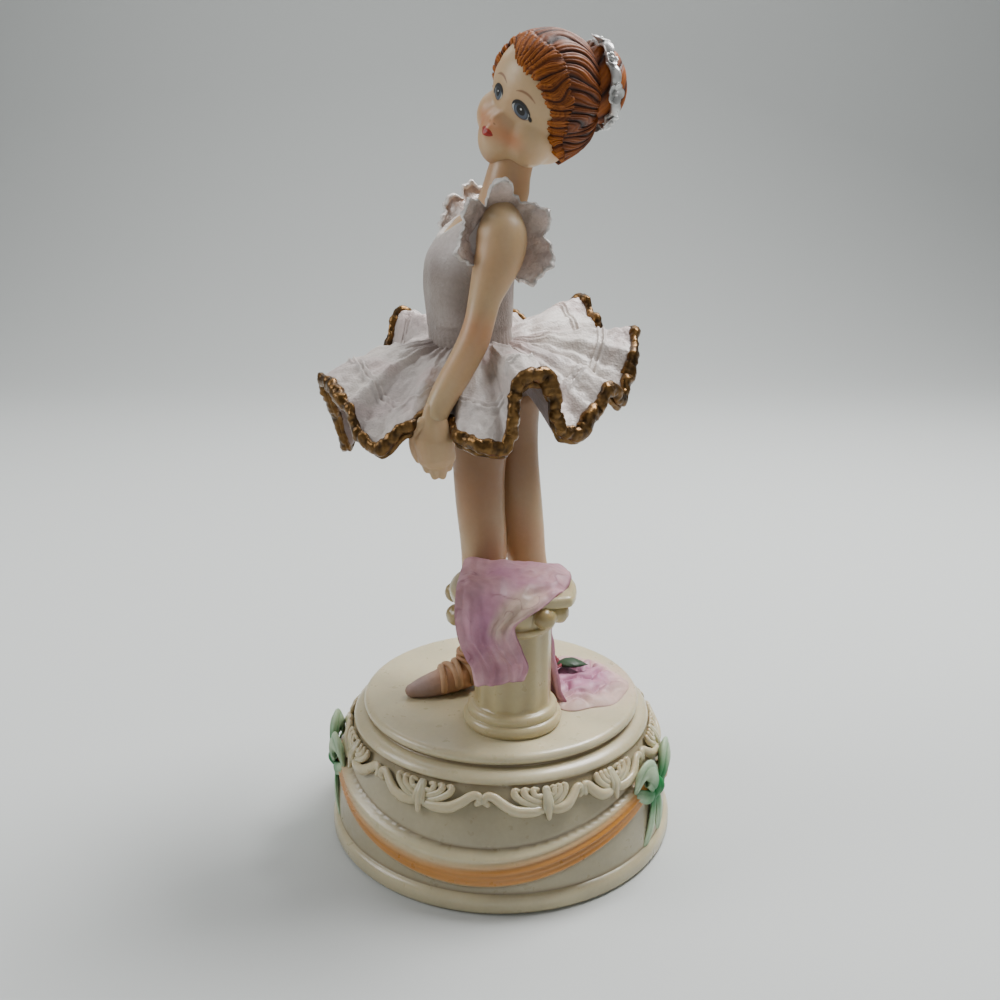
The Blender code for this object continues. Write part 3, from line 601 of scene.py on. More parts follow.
# Column with its capital
COLUMN_X = 2.5
COLUMN_Y = -15.2
COLUMN_H = 31.5
FLUTES = 12
ABACUS_H = 2.6
CAPITAL_TURN = math.radians(4.0)
SHAFT_PROFILE = (
    (9.8, -0.6, 0), (10.3, 0.1, 0), (10.65, 0.7, 0), (10.75, 1.4, 0), (10.6, 2.0, 0), (10.2, 2.5, 0),
    (9.75, 2.7, 0), (9.75, 3.1, 0), (9.8, 3.6, 0), (9.6, 4.2, 0), (9.1, 4.6, 0), (8.6, 4.8, 0),
    (8.35, 5.3, 0.6), (8.3, 6.2, 1), (8.3, 10.0, 1), (8.3, 15.0, 1), (8.3, 20.0, 1), (8.3, 21.6, 1),
    (8.35, 22.2, 0.5), (8.6, 22.5, 0), (9.0, 22.8, 0), (9.15, 23.3, 0), (9.0, 23.8, 0), (8.6, 24.1, 0),
    (8.5, 25.2, 0), (8.8, 26.6, 0), (9.4, 28.0, 0), (9.7, 29.2, 0),
)
SLAB_PROFILE = (
    (8.6, -2.9), (9.6, -2.6), (10.2, -2.3), (10.45, -1.9), (10.5, -1.2), (10.4, -0.6), (10.0, -0.15),
    (9.2, 0.0), (4.0, 0.0), (0.05, 0.0),
)
SLAB_WIDER = 1.28
VOLUTE_ROLL = ((-2.3, 2.3), (-1.2, 2.1), (0.0, 1.7), (1.2, 2.1), (2.3, 2.3))


def column_point(x, y, z):
    turn = Matrix.Rotation(CAPITAL_TURN, 3, "Z")
    return turn @ Vector((x, y, 0)) + Vector((COLUMN_X, COLUMN_Y, BASE_H + z))


def column():
    """Plinth, collar, fluted shaft and the leafy bell of the capital."""
    rows = len(SHAFT_PROFILE) * 3 - 2

    def place(across, down):
        radius, z, fluted = along(SHAFT_PROFILE, down)
        turn = 2 * math.pi * across
        flute = 0.5 - 0.5 * math.cos(FLUTES * turn)
        cut = 0.26 * fluted * flute ** 0.8
        leaves = 0.0
        if z > 24.2:
            leaves = 0.7 * ridge(8 * across) * smooth((z - 24.2) / 1.2) * smooth((30.5 - z) / 3.0)
        out = radius - cut + leaves
        colour = tint(COLUMN_YELLOW, CREAM, 0.4 if z < 5 else 0.15)
        bell = smooth((z - 24.5) / 3.0) * (1 - leaves)
        colour = tint(colour, COLUMN_SHADE, 0.16 * fluted * flute + 0.4 * bell)
        return column_point(out * math.cos(turn), out * math.sin(turn), z), colour

    bent_piece("column", 240, rows, place, RESIN_CREAM, COLUMN_SHADE, 3.0)


def capital():
    """The broad top slab with soft corners, and a rolled volute under each corner."""
    def place(across, down):
        reach, z = along(SLAB_PROFILE, down)
        turn = 2 * math.pi * across
        out = reach * (1.0 + 0.2 * (1 - abs(math.cos(2 * turn))) ** 1.2)
        colour = tint(COLUMN_YELLOW, CREAM, 0.35)
        return column_point(out * math.cos(turn) * SLAB_WIDER, out * math.sin(turn), COLUMN_H + z), colour

    top = surface(200, 34, place, wrap=True)
    close(top)
    made = [top]
    for i in range(4):
        turn = math.radians(45 + 90 * i)
        out = Vector((math.cos(turn), math.sin(turn), 0))
        side = Vector((-math.sin(turn), math.cos(turn), 0))
        centre = Vector((out.x * 12.6 - 1.6, out.y * 11.6, COLUMN_H - ABACUS_H - 1.6))
        roll = []
        for run, radius in VOLUTE_ROLL:
            spot = centre + side * run
            roll.append((*column_point(spot.x, spot.y, spot.z), radius))

        def curl(across, down):
            return 1.0 - 0.12 * (1.0 - ridge(2 * across + 2.5 * abs(down - 0.5)))

        made.append(rod(roll, 16, 48, COLUMN_YELLOW, 1.0, out, curl))
    joined_piece("capital", made, RESIN_CREAM, COLUMN_SHADE, 2.0)


# Lilac cloth over the column
CLOTH_THICK = 1.5
CLOTH_OVER = (
    (-7.0, -5.8, 0.2, 11.4, -6.6, -0.6), (-8.0, -9.5, 2.6, 13.6, -9.0, 1.4),
    (-8.8, -17.0, 2.2, 15.0, -14.0, 1.2), (-9.2, -24.6, 1.7, 13.0, -20.6, 0.5),
    (-9.4, -27.4, -2.4, 8.4, -25.8, -1.4), (-8.8, -27.1, -6.8, 3.0, -27.2, -5.0),
    (-7.4, -26.4, -11.0, 4.2, -26.2, -9.8), (-6.2, -25.4, -14.4, 5.6, -25.4, -13.6),
    (-5.6, -24.6, -18.8, 5.0, -24.8, -17.8),
)
CLOTH_BEHIND = (
    (3.0, -5.7, -1.5, 10.0, -7.6, -1.5), (4.0, -4.6, -8.0, 10.6, -8.6, -8.0),
    (5.0, -4.6, -17.0, 11.8, -9.4, -17.0), (6.5, -3.6, -25.0, 13.0, -9.8, -25.0),
    (8.5, -1.6, 1.0 - COLUMN_H, 14.6, -10.0, 1.0 - COLUMN_H),
)
# Each fold runs from a share of the width at the top to one at the hem, with a width and a height
OVER_FOLDS = (
    (-0.05, 0.04, 0.09, 1.2), (0.05, 0.34, 0.08, 1.2), (0.38, 0.52, 0.1, 0.75), (0.55, 0.74, 0.07, 0.9),
    (0.86, 0.86, 0.08, 0.6), (1.3, 0.95, 0.09, 1.4),
)
POOL_TOP = 0.92
BEHIND_FOLDS = ((0.1, 0.2, 0.12, 0.8), (0.5, 0.55, 0.13, 0.8), (0.95, 0.9, 0.12, 0.9))


def folded_cloth(name, rows, count, steps, depth, folds):
    """A folded sheet between a left and a right edge, with its underside."""
    top_z = BASE_H + COLUMN_H

    def place(across, down):
        front = across < 0.5
        v = across * 2.0 if front else 2.0 - across * 2.0
        spots = along(rows, down)
        one = Vector(spots[:3]) + UP * top_z
        two = Vector(spots[3:]) + UP * top_z
        later = along(rows, min(down + 0.03, 1.0))
        sooner = along(rows, max(down - 0.03, 0.0))
        run = Vector([p - q for p, q in zip(later[:3], sooner[:3])])
        run += Vector([p - q for p, q in zip(later[3:], sooner[3:])])
        lift = (two - one).cross(run).normalized() * -1.0
        hang = smooth(down * 1.7 - 0.25) * (1.0 - 0.7 * smooth((down - 0.88) / 0.12))
        rise = 0.0
        for start, end, width, height in folds:
            at = mix(start, end, down) + 0.03 * math.sin(9.0 * down + 20.0 * start)
            rise = max(rise, height * math.exp(-abs((v - at) / width) ** 1.7))
        flat_part = one.lerp(two, v)
        crumple = 0.75 * grain(flat_part, 4.5, 3.0) + 0.28 * grain(flat_part, 1.8, 5.0)
        slant = math.exp(-((down - 0.36 - 0.16 * (1 - v)) / 0.03) ** 2) * smooth(v * 2.5 - 1.2)
        wave = depth * ((rise - 0.4) * hang + 0.8 * crumple - 0.7 * slant)
        edge = 1.0 - 0.75 * abs(2 * v - 1) ** 10
        spot = flat_part + lift * (wave + CLOTH_THICK * (0.55 if front else -0.5) * edge)
        # A painted highlight on the middle right of the sheet, a deep lilac patch near the hem, and painted
        # shade in the valleys between folds.
        highlight_patch = smooth(1.0 - ((v - 0.72) / 0.3) ** 2 - ((down - 0.52) / 0.2) ** 2)
        deep = smooth(1.0 - ((v - 0.45) / 0.25) ** 2 - ((down - 0.92) / 0.13) ** 2)
        colour = tint(LILAC, LILAC_PALE, 0.5 + 0.5 * grain(spot, 7.0, 7.0))
        colour = tint(colour, tint(CREAM, LILAC_PALE, 0.35), 0.8 * highlight_patch)
        colour = tint(colour, LILAC_DEEP, 0.45 * deep + 0.3 * smooth(0.3 - rise) * hang)
        vein = 1.0 - smooth((abs(grain(spot, 3.4, 12.0)) - 0.015) / 0.05)
        patch = smooth(grain(spot, 6.0, 15.0) * 3.0 - 0.2)
        return spot, tint(colour, LILAC_DEEP, 0.4 * vein * patch)

    bent_piece(name, count, steps, place, RESIN_CLOTH, LILAC_DEEP, 3.0)


def cloth_pool():
    """The end of the cloth lying in soft folds on the disc, beside the column."""
    def place(across, down):
        turn = 2 * math.pi * across
        share = mix(0.02, 1.06, min(down / POOL_TOP, 1.0))
        inner = min(share, 1.0)
        fold = math.cos(3 * turn - 0.9 + 1.6 * share)
        reach = inner * (0.93 + 0.06 * fold + 0.03 * math.cos(7 * turn))
        x = COLUMN_X + 15.6 + 11.8 * reach * math.cos(turn)
        y = COLUMN_Y + 16.6 + 15.0 * reach * math.sin(turn)
        ramble = grain((x, y, 0), 6.0, 3.0)
        crease = ridge(0.13 * x - 0.17 * y + 1.3 * ramble) - 0.55 + 0.5 * grain((x, y, 0), 2.6, 1.0)
        rise = 1.9 * (1 - inner) ** 0.8 + 1.5 * crease * smooth((1.05 - share) * 2.2)
        z = BASE_H + max(0.05, rise) + 0.75 * smooth((1.06 - share) * 5.0)
        if down > POOL_TOP:
            z = mix(z, BASE_H - 0.8, (down - POOL_TOP) / (1.0 - POOL_TOP))
        # Painted shade in the creases.
        colour = tint(LILAC, LILAC_DEEP, 0.55 * smooth(-crease * 2.0))
        colour = tint(colour, tint(CREAM, LILAC_PALE, 0.6), 0.9 * smooth(share * 1.7 - 0.65))
        return Vector((x, y, z)), colour

    bent_piece("cloth_pool", 200, 40, place, RESIN_CLOTH, LILAC_DEEP, 2.5)


def petal_ring(centre, normal, radius, rise, petals, curl, colour, turn_start=0.0):
    """A cupped ring of overlapping petals round a centre."""
    side, other = square_to(normal)

    def place(across, down):
        turn = 2 * math.pi * across + turn_start
        lobe = abs(math.cos(petals * turn / 2)) ** 0.5
        reach = radius * down * (0.72 + 0.28 * lobe)
        height = rise * down ** 1.6 * (0.8 + 0.2 * lobe) + curl * down * (1 - down)
        spot = centre + around(side, other, turn) * reach + normal * height
        return spot, tint(colour, tint(colour, PETAL_SHADE, 0.6), 0.8 * (1 - lobe) + 0.5 * (1 - down))

    bm = surface(petals * 10, 8, place, wrap=True)
    bmesh.ops.solidify(bm, geom=bm.faces[:], thickness=radius * 0.1)
    return bm


# Radius, rise and count of each ring of petals, from the outside in
ROSE_PETALS = ((3.9, 1.6, 5), (3.1, 2.7, 5), (2.3, 3.6, 4), (1.4, 4.2, 3))


def rose():
    """A small rose lying on the cloth, with nested petals and two ribbed leaves."""
    centre = Vector((COLUMN_X + 8.2, COLUMN_Y + 18.5, BASE_H + 2.4))
    made = []
    for k, (radius, rise, petals) in enumerate(ROSE_PETALS):
        made.append(petal_ring(centre + UP * 0.4, UP, radius, rise, petals, 0.4, ROSE, k * 0.7))
    bud = [(*(centre + UP * rise), radius) for rise, radius in ((0.2, 1.6), (2.2, 1.5), (3.8, 0.8))]
    made.append(rod(bud, 10, 16, tint(ROSE, HAIR_DARK, 0.3), 1.0, Vector((1, 0, 0))))
    piece(join(made), "rose", RESIN_CLOTH)
    leaves = []
    for dx, dy in ((9.6, 0.6), (-1.5, 7.2)):
        tip = Vector((dx, dy, 0.6))
        points = []
        for share, size in ((0.25, 0.8), (0.45, 2.0), (0.65, 2.4), (0.85, 1.5), (1.0, 0.3)):
            points.append((*(centre + tip * share + UP * (0.8 + 0.9 * math.sin(math.pi * share))), size))

        def ribs(across, down):
            return 0.85 + 0.15 * ridge(6 * across + 5 * down)

        leaves.append(rod(points, 18, 48, LEAF, 0.35, UP, ribs))
    joined_piece("rose_leaves", leaves, RESIN_CLOTH, LEAF_SHADE, 2.0)


# The dancer
FACING = math.radians(194.0)
AHEAD = Vector((math.cos(FACING), math.sin(FACING), 0))
LEFT = Vector((-AHEAD.y, AHEAD.x, 0))
TORSO = (
    (57, 1.5, 2, 6.0, 7.5), (62, 1, 2, 8.2, 10.0), (68, -0.6, 2, 8.9, 10.9), (74, -3.6, 2, 8.7, 10.6),
    (80, -6.4, 2, 8.2, 10.2), (87, -6.8, 1.6, 8.3, 11.2), (93, -6.8, 1.2, 8.2, 12.0),
    (98, -6.1, 1, 8.6, 12.3), (102, -4.6, 0.8, 7.9, 12.2), (105.4, -2.6, 0.6, 6.5, 11.0),
    (108, -0.6, 0.4, 5.4, 8.0), (110.5, 0.6, 0.3, 5.0, 5.8), (114, 1.4, 0.2, 4.6, 4.9),
    (118.5, 2.8, 0.1, 4.5, 4.5), (123, 5.2, 0.0, 4.6, 4.6),
)
TORSO_STEPS = 400
TORSO_HEIGHTS = [along(TORSO, i / TORSO_STEPS)[0] for i in range(TORSO_STEPS + 1)]


def dancer(x, y, z):
    """A point of the dancer, drawn with z above the disc."""
    return Vector((x, y, z + BASE_H))


def torso_point(turn, height, grow=0.0):
    """A point of the torso at an angle from ahead and a height above the disc."""
    low, high = 0, TORSO_STEPS
    while high - low > 1:
        middle = (low + high) // 2
        if TORSO_HEIGHTS[middle] < height:
            low = middle
        else:
            high = middle
    z, x, y, deep, wide = along(TORSO, low / TORSO_STEPS)
    across = math.copysign(abs(math.sin(turn)) ** 0.9, math.sin(turn))
    spot = dancer(x, y, height)
    chest = 0.9 * math.exp(-((height - 93) / 5.0) ** 2) * math.cos(turn) ** 2 * (math.cos(turn) > 0)
    bust = chest * (1.0 - 0.8 * math.exp(-(math.sin(turn) / 0.28) ** 2))
    return spot + AHEAD * (math.cos(turn) * (deep + grow) + bust) + LEFT * (across * (wide + grow))


def skin_paint(spot, peach=0.0, shade=0.0):
    colour = tint(SKIN, SKIN_PEACH, 0.12 + 0.22 * grain(spot, 9.0, 2.0) + peach)
    return tint(colour, SKIN_SHADE, shade)


def upper_body():
    """Bare neck, shoulders, chest and back, which show over the bodice."""
    def place(across, down):
        turn = 2 * math.pi * across
        height = mix(84.0, 123.0, down)
        spot = torso_point(turn, height)
        collar = 0.35 * math.exp(-((height - 105.5 - 1.5 * abs(math.sin(turn))) / 1.0) ** 2)
        spot += AHEAD * collar * max(0.0, math.cos(turn))
        return spot, skin_paint(spot, 0.1, 0.25 * smooth((height - 106) / 8.0))

    bent_piece("upper_body", 120, 80, place, RESIN_SKIN)


def neckline(turn):
    """How high the bodice reaches at an angle from ahead: a V in front and a deeper one behind."""
    turn = (turn + math.pi) % (2 * math.pi) - math.pi
    front = 102.2 + 6.5 * smooth(abs(turn) / 0.95)
    back = 86.0 + 20.0 * smooth((math.pi - abs(turn)) / 0.7)
    return min(front, back)


NECK_ROLL = 0.88


def bodice():
    """The tight bodice with its rolled neckline."""
    def place(across, down):
        turn = 2 * math.pi * across
        top = neckline(turn)
        if down < NECK_ROLL:
            height, grow = mix(70.0, top, down / NECK_ROLL), 0.65
        else:
            lip = (down - NECK_ROLL) / (1.0 - NECK_ROLL)
            height, grow = top + 0.5 * math.sin(math.pi * lip), mix(0.65, -0.5, smooth(lip))
        rim = math.exp(-((top - height) / 0.7) ** 2) if down < NECK_ROLL else 1.0
        spot = torso_point(turn, height, grow + 0.35 * rim * (grow > 0))
        spot += spot.normalized() * 0.12 * grain(spot, 1.4, 6.0)
        gather = ridge(turn * 7.0 + 0.02 * height) * smooth((84.0 - height) / 6.0)
        spot += (spot - dancer(-6.4, 1.6, height)).normalized() * 0.35 * (gather - 0.5) * (height < 84)
        colour = tint(DRESS, DRESS_LILAC, 0.35 + 0.4 * grain(spot, 8.0, 9.0))
        low = smooth((101.5 - height) / 8.0)
        colour = tint(colour, DRESS_SHADE, (0.6 + 0.2 * grain(spot, 5.0, 4.0)) * low)
        return spot, tint(colour, DRESS, 0.8 * rim)

    bent_piece("bodice", 200, 110, place, RESIN_DRESS, DRESS_SHADE, 3.0, closed=False)


# Tutu: the height and reach of its hem at angles round the waist
HEM = (
    (-2, 83.0, 33.0), (-13, 79.5, 33.4), (-19, 74.5, 32.6), (-25, 71.0, 32.8), (-35, 74.0, 32.3),
    (-43, 70.0, 32.0), (-51, 66.2, 32.0), (-58, 67.0, 32.0), (-61, 70.0, 31.8), (-61.8, 75.0, 31.4),
    (-64.5, 78.2, 31.0), (-70, 78.4, 31.0), (-74.5, 77.0, 31.0), (-76.4, 74.0, 31.4), (-77.2, 67.0, 31.8),
    (-80, 64.6, 32.0), (-88, 65.2, 31.6), (-95, 66.0, 29.0), (-103, 68.0, 22.0), (-112, 69.0, 24.0),
    (-118, 67.5, 29.0), (-127, 63.0, 31.5), (-136, 65.0, 31.8), (-142, 70.5, 32.0), (-156, 74.0, 32.5),
    (-170, 74.0, 33.2), (-180, 67.0, 31.5), (-191, 57.5, 30.5), (-204, 64.0, 30.0), (-221, 74.0, 30.0),
    (-233, 85.0, 31.0), (-245, 80.0, 30.0), (-254, 70.0, 26.0), (-262, 69.0, 22.0), (-271, 71.0, 26.0),
    (-284, 84.0, 32.0), (-298, 77.5, 31.5), (-316, 88.3, 33.0), (-325, 84.0, 32.0), (-340, 74.0, 31.5),
    (-350, 78.0, 32.5),
)


# Middle (x, y) and height of the skirt at the waist and at a level hem
WAIST = (-6.2, 2.0, 81.0)
LEVEL_HEM = (-5.0, 1.0, 75.0)
WAIST_R = 6.5
SKIRT_SWELL = 2.2


def skirt_point(angle, share):
    """A point of the skirt's upper face, from waist (share 0) to hem (1)."""
    height, reach = periodic(HEM, angle)
    turn = math.radians(angle)
    radius = mix(WAIST_R, reach, share)
    body = mix(WAIST[2], LEVEL_HEM[2], share ** 0.8) + SKIRT_SWELL * math.sin(math.pi * share)
    z = body + (height - LEVEL_HEM[2]) * share ** 1.35
    x = mix(WAIST[0], LEVEL_HEM[0], share) + radius * math.cos(turn)
    y = mix(WAIST[1], LEVEL_HEM[1], share) + radius * math.sin(turn)
    return dancer(x, y, z)


def hem_angles(count, share=1.0):
    """Angles in degrees spaced evenly along the wavy hem, so that steep folds get as many points."""
    fine = [skirt_point(-a / 4.0, share) for a in range(1441)]
    length = [0.0]
    for here, there in zip(fine, fine[1:]):
        length.append(length[-1] + (there - here).length)
    angles = []
    place = 0
    for i in range(count):
        goal = length[-1] * i / count
        while length[place + 1] < goal:
            place += 1
        part = (goal - length[place]) / (length[place + 1] - length[place])
        angles.append(-(place + part) / 4.0)
    return angles


SKIRT_COLUMNS = 640
SKIRT_ROWS = 44
SKIRT_ANGLES = hem_angles(SKIRT_COLUMNS)


def spread_rows(even):
    """Rows from waist to hem, closest together where the two stitched tucks are."""
    if even < 0.4:
        return 0.7 * even / 0.4
    if even < 0.75:
        return mix(0.7, 0.81, (even - 0.4) / 0.35)
    return mix(0.81, 1.0, (even - 0.75) / 0.25)


TUCKS = ((0.735, 0.5), (0.775, 0.6))


def flounce(name, drop, thick, reach, gathers):
    """One flounce of the tutu with its upper and lower face."""
    def place(across, down):
        column = round(across * SKIRT_COLUMNS) % SKIRT_COLUMNS
        angle = SKIRT_ANGLES[column]
        upper = down < 0.5
        even = down * 2.0 if upper else 2.0 - down * 2.0
        share = reach * spread_rows(even)
        here = skirt_point(angle, share)
        near = skirt_point(angle + 0.6, share)
        run = max((near.xy - here.xy).length, 0.05)
        slope = min(math.sqrt(1 + ((near.z - here.z) / run) ** 2), 3.0)
        wave = math.radians(angle)
        pleat = gathers * (math.sin(wave * 46 + 2.0 * math.sin(wave * 7)) * smooth(1.15 - share * 1.7))
        pleat += 0.22 * math.sin(wave * 23 + 1.0) * smooth(share * 2.0) * (1 - share)
        tuck = (abs(grain(here, 4.2, 21.0)) - 0.16) * 0.9
        pit = 0.3 * grain(here, 1.1, 4.0) + 0.35 * grain(here, 2.6, 9.0)
        pit += 0.4 * grain(here, 6.0, 6.0) + tuck
        tucks = sum(height * math.exp(-((share - at) / 0.0085) ** 2) for at, height in TUCKS)
        lift = pleat + pit + tucks * slope ** 0.5 if upper else pleat * 0.8 - thick * slope
        spot = here + UP * (lift - drop)
        colour = tint(DRESS, DRESS_LILAC, 0.3 + 0.5 * grain(here, 10.0, 2.0))
        colour = tint(colour, DRESS_SHADE, 0.55 * smooth(0.75 - share * 1.5))
        colour = tint(colour, DRESS_BLUSH, 0.4 * smooth(grain(here, 7.0, 8.0) * 2.0))
        if not upper:
            colour = tint(DRESS_LILAC, DRESS_SHADE, 0.4 + 0.3 * grain(here, 8.0, 2.0))
        return spot, colour

    bm = surface(SKIRT_COLUMNS, SKIRT_ROWS * 2, place, wrap=True)
    bmesh.ops.remove_doubles(bm, verts=bm.verts, dist=0.0005)
    crevice_wash_and_shade(bm, DRESS_SHADE, 2.6)
    piece(bm, name, RESIN_DRESS)


def hem_roll(name, share, drop, size, count, lumps):
    """A rolled gold edge along the skirt at a share of its width, with a beaten surface."""
    angles = hem_angles(count, share)
    path = [skirt_point(a, share) + UP * drop for a in angles]
    frames = []
    for i, centre in enumerate(path):
        ahead = (path[(i + 1) % count] - path[i - 1]).normalized()
        deep = (UP - ahead * UP.dot(ahead)).normalized()
        frames.append((centre, ahead.cross(deep), deep))

    def place(across, down):
        centre, wide, deep = frames[round(down * count) % count]
        turn = 2 * math.pi * across
        way = wide * math.cos(turn) + deep * math.sin(turn)
        wider = 1.0 + 1.4 * lumps * grain(centre, 5.0, 3.0)
        beaten = grain(centre + way * size, 1.7, 1.0) + 0.6 * grain(centre + way * size, 0.8, 2.0)
        spot = centre + way * size * (wider + lumps * beaten)
        spot += deep * 0.35 * size * math.copysign(abs(math.sin(turn)), math.sin(turn))
        # Darker in the dents of the beaten surface: painted shade.
        return spot, tint(GOLD, GOLD_DARK, 0.75 * smooth(0.3 - beaten * 1.3))

    bm = surface(16, count, place, wrap=True)
    bmesh.ops.remove_doubles(bm, verts=bm.verts, dist=0.0005)
    piece(bm, name, RESIN_GOLD)


# Rim of each ruffle: the angle from ahead over the shoulder, and how far out it reaches there
NEAR_RIM = (
    (-62, 6.5), (-42, 8.6), (-22, 10.3), (-8, 8.0), (16, 7.2), (32, 8.6), (46, 9.3), (56, 8.2), (65, 5.9),
    (72, 7.2), (80, 9.6), (90, 10.7), (101, 10.2), (112, 8.4), (127, 7.7), (141, 9.4), (156, 10.7),
    (170, 10.5), (183, 9.2), (195, 10.9), (206, 12.2), (222, 11.6), (236, 12.2), (246, 10.0), (254, 7.5),
)
FAR_RIM = (
    (-62, 6.5), (-40, 8.2), (-20, 9.0), (0, 8.4), (20, 9.2), (34, 9.0), (42, 10.0), (55, 10.4), (66, 8.8),
    (74, 10.8), (84, 11.4), (94, 10.2), (112, 10.0), (130, 8.8), (150, 10.6), (170, 9.0), (190, 10.8),
    (208, 9.2), (226, 10.4), (242, 9.0), (254, 7.0),
)


def ruffle(joint, name, side, rim):
    """A flounced strap round an armhole, from the chest over the shoulder to the back."""
    out = LEFT * side
    centre = joint + out * 0.8
    first, last = rim[0][0], rim[-1][0]

    def place(across, down):
        angle = mix(first, last, down)
        turn = math.radians(angle)
        spoke = AHEAD * math.cos(turn) + UP * math.sin(turn)
        reach = periodic(rim, angle)[0]
        wave = (reach - 9.0) / 2.2
        fade = smooth(min(down, 1 - down) * 6.0)
        front = across < 0.5
        level = across * 2.0 if front else 2.0 - across * 2.0
        gather = math.sin(math.radians(angle * 12.0)) * fade
        here = mix(4.4, reach, level) + 0.18 * math.sin(math.radians(angle * 31.0)) * level ** 4
        cup = mix(-2.4, 0.9 + 1.8 * wave * fade, smooth(level * 1.1)) + 0.7 * gather * level
        cup += 0.5 * wave * math.sin(math.pi * level)
        edge = smooth((level - 0.8) / 0.08)
        thick = 0.5 * math.sqrt(max(0.0, 1.0 - max(0.0, level - 0.85) ** 2 / 0.0225))
        thick *= 1.0 + 1.2 * edge
        spot = centre + spoke * here + out * (cup + (thick if front else -thick))
        spot += (out * 0.3 * grain(spot, 0.9, 2.0) + spoke * 0.16 * grain(spot, 0.8, 5.0)) * edge
        spot += out * 0.3 * grain(spot, 1.8, 8.0)
        hollow = smooth(0.1 - wave * 0.6) * (1 - edge)
        colour = tint(DRESS, DRESS_PINK, 0.45 + 0.3 * grain(spot, 4.0, 1.0))
        colour = tint(colour, DRESS_SHADE, 0.3 * hollow + 0.2 * smooth(0.55 - level) + 0.12 * (1 - edge))
        return dancer(*spot), tint(colour, RIM_GLINT, edge * (0.75 + 0.25 * grain(spot, 0.7, 9.0)))

    bent_piece(name, 60, 420, place, RESIN_GLITTER, DRESS_SHADE, 2.0)


def skin_limb(points, peach_at, shade_from=None):
    """A bare limb, flushed at one share of its length and shaded above a height."""
    def colour(across, down, spot):
        peach = 0.3 * math.exp(-((down - peach_at) / 0.07) ** 2)
        shade = 0.12 if shade_from is None else 0.25 + 0.55 * smooth((spot.z - shade_from) / 22.0)
        return skin_paint(spot, peach, shade)

    return rod(points, 46, 40, colour, 1.0, Vector((0, 1, 0)), lift=BASE_H)


NEAR_ARM = (
    (0.1, -9.0, 105.0, 4.2), (0.1, -11, 102.5, 5.0), (-0.2, -12, 99.4, 4.9), (-1.5, -13, 95.6, 4.3),
    (-3.2, -14, 90.7, 3.3), (-4.2, -15, 86.5, 3.0), (-5.4, -16, 82.7, 3.1), (-7.5, -17.5, 78.6, 3.0),
    (-10, -19.5, 74.4, 2.9), (-12, -21.5, 70.8, 2.6), (-12.6, -22.3, 69.0, 2.3),
)
FAR_ARM = (
    (-4.2, 7.6, 105.0, 3.8), (-4.4, 10.2, 102.5, 4.6), (-4.8, 11.8, 99.0, 4.2), (-5.2, 13.0, 95.0, 3.8),
    (-5.8, 14.4, 90.0, 3.2), (-6.4, 15.8, 86.0, 3.0), (-7.2, 17.6, 82.0, 3.0), (-8.4, 19.8, 78.0, 2.9),
    (-9.8, 22.0, 74.0, 2.7), (-11.0, 23.6, 70.8, 2.6), (-11.6, 24.4, 69.0, 2.3),
)


# Points of the palm and thumb (aside, down, back, radius), and each finger's place, length and lean
PALM = ((-0.5, -1.2, 0, 2.1), (-0.2, 1.4, 0, 2.8), (0, 4.0, 0.1, 3.8), (0, 6.2, 0.3, 3.6))
THUMB = ((2.0, 1.0, 0.4, 1.7), (3.3, 3.6, 1.2, 1.5), (3.5, 5.8, 1.6, 1.25), (3.2, 7.4, 1.9, 0.95))
FINGERS = ((-2.4, 9.6, 0.1), (-0.85, 11.0, 0.0), (0.75, 10.9, 0.0), (2.25, 9.5, -0.1))


def hand_forms(wrist, down, side, size):
    """A palm, four fingers held together and a thumb, as overlapping forms."""
    down.normalize()
    side = (side - down * side.dot(down)).normalized()
    back = down.cross(side)

    def spot(a, d, b, radius):
        return (*(wrist + (side * a + down * d + back * b) * size), radius * size)

    made = []

    def colour(across, down, spot):
        return skin_paint(spot, 0.1, 0.1)

    palm = [spot(*knot) for knot in PALM]
    made.append(rod(palm, 12, 20, colour, 0.62, back, lift=BASE_H))
    digits = []
    for place, length, lean in FINGERS:
        finger = ((place, 4.6, 0.1, 1.1), (place * 1.02, 7.4, 0.5, 1.2))
        finger += ((place * 0.98 + lean, length - 1.4, 0.95, 1.05), (place * 0.9 + lean, length, 1.3, 0.8))
        digits.append(finger)
    for digit in (*digits, THUMB):
        made.append(rod([spot(*knot) for knot in digit], 14, 14, colour, 1.0, back, lift=BASE_H))
    return made


# Each hand's wrist, the ways of its fingers and of its thumb's side, and its size
HANDS = (
    ("near_hand", (-13.4, -22.9, 68.4), (0.10, -0.10, -1.0), (-0.9, -0.1, 0.0), 1.05),
    ("far_hand", (-12.0, 24.8, 68.0), (-0.1, 0.1, -1.0), (-0.95, 0.2, 0.0), 1.0),
)


def arms():
    for points, name in ((NEAR_ARM, "near_arm"), (FAR_ARM, "far_arm")):
        piece(skin_limb(points, 0.55), name, RESIN_SKIN)
    for name, wrist, down, side, size in HANDS:
        forms = hand_forms(Vector(wrist), Vector(down), Vector(side), size)
        fused(join(forms), name, RESIN_SKIN, 0.18, 3)


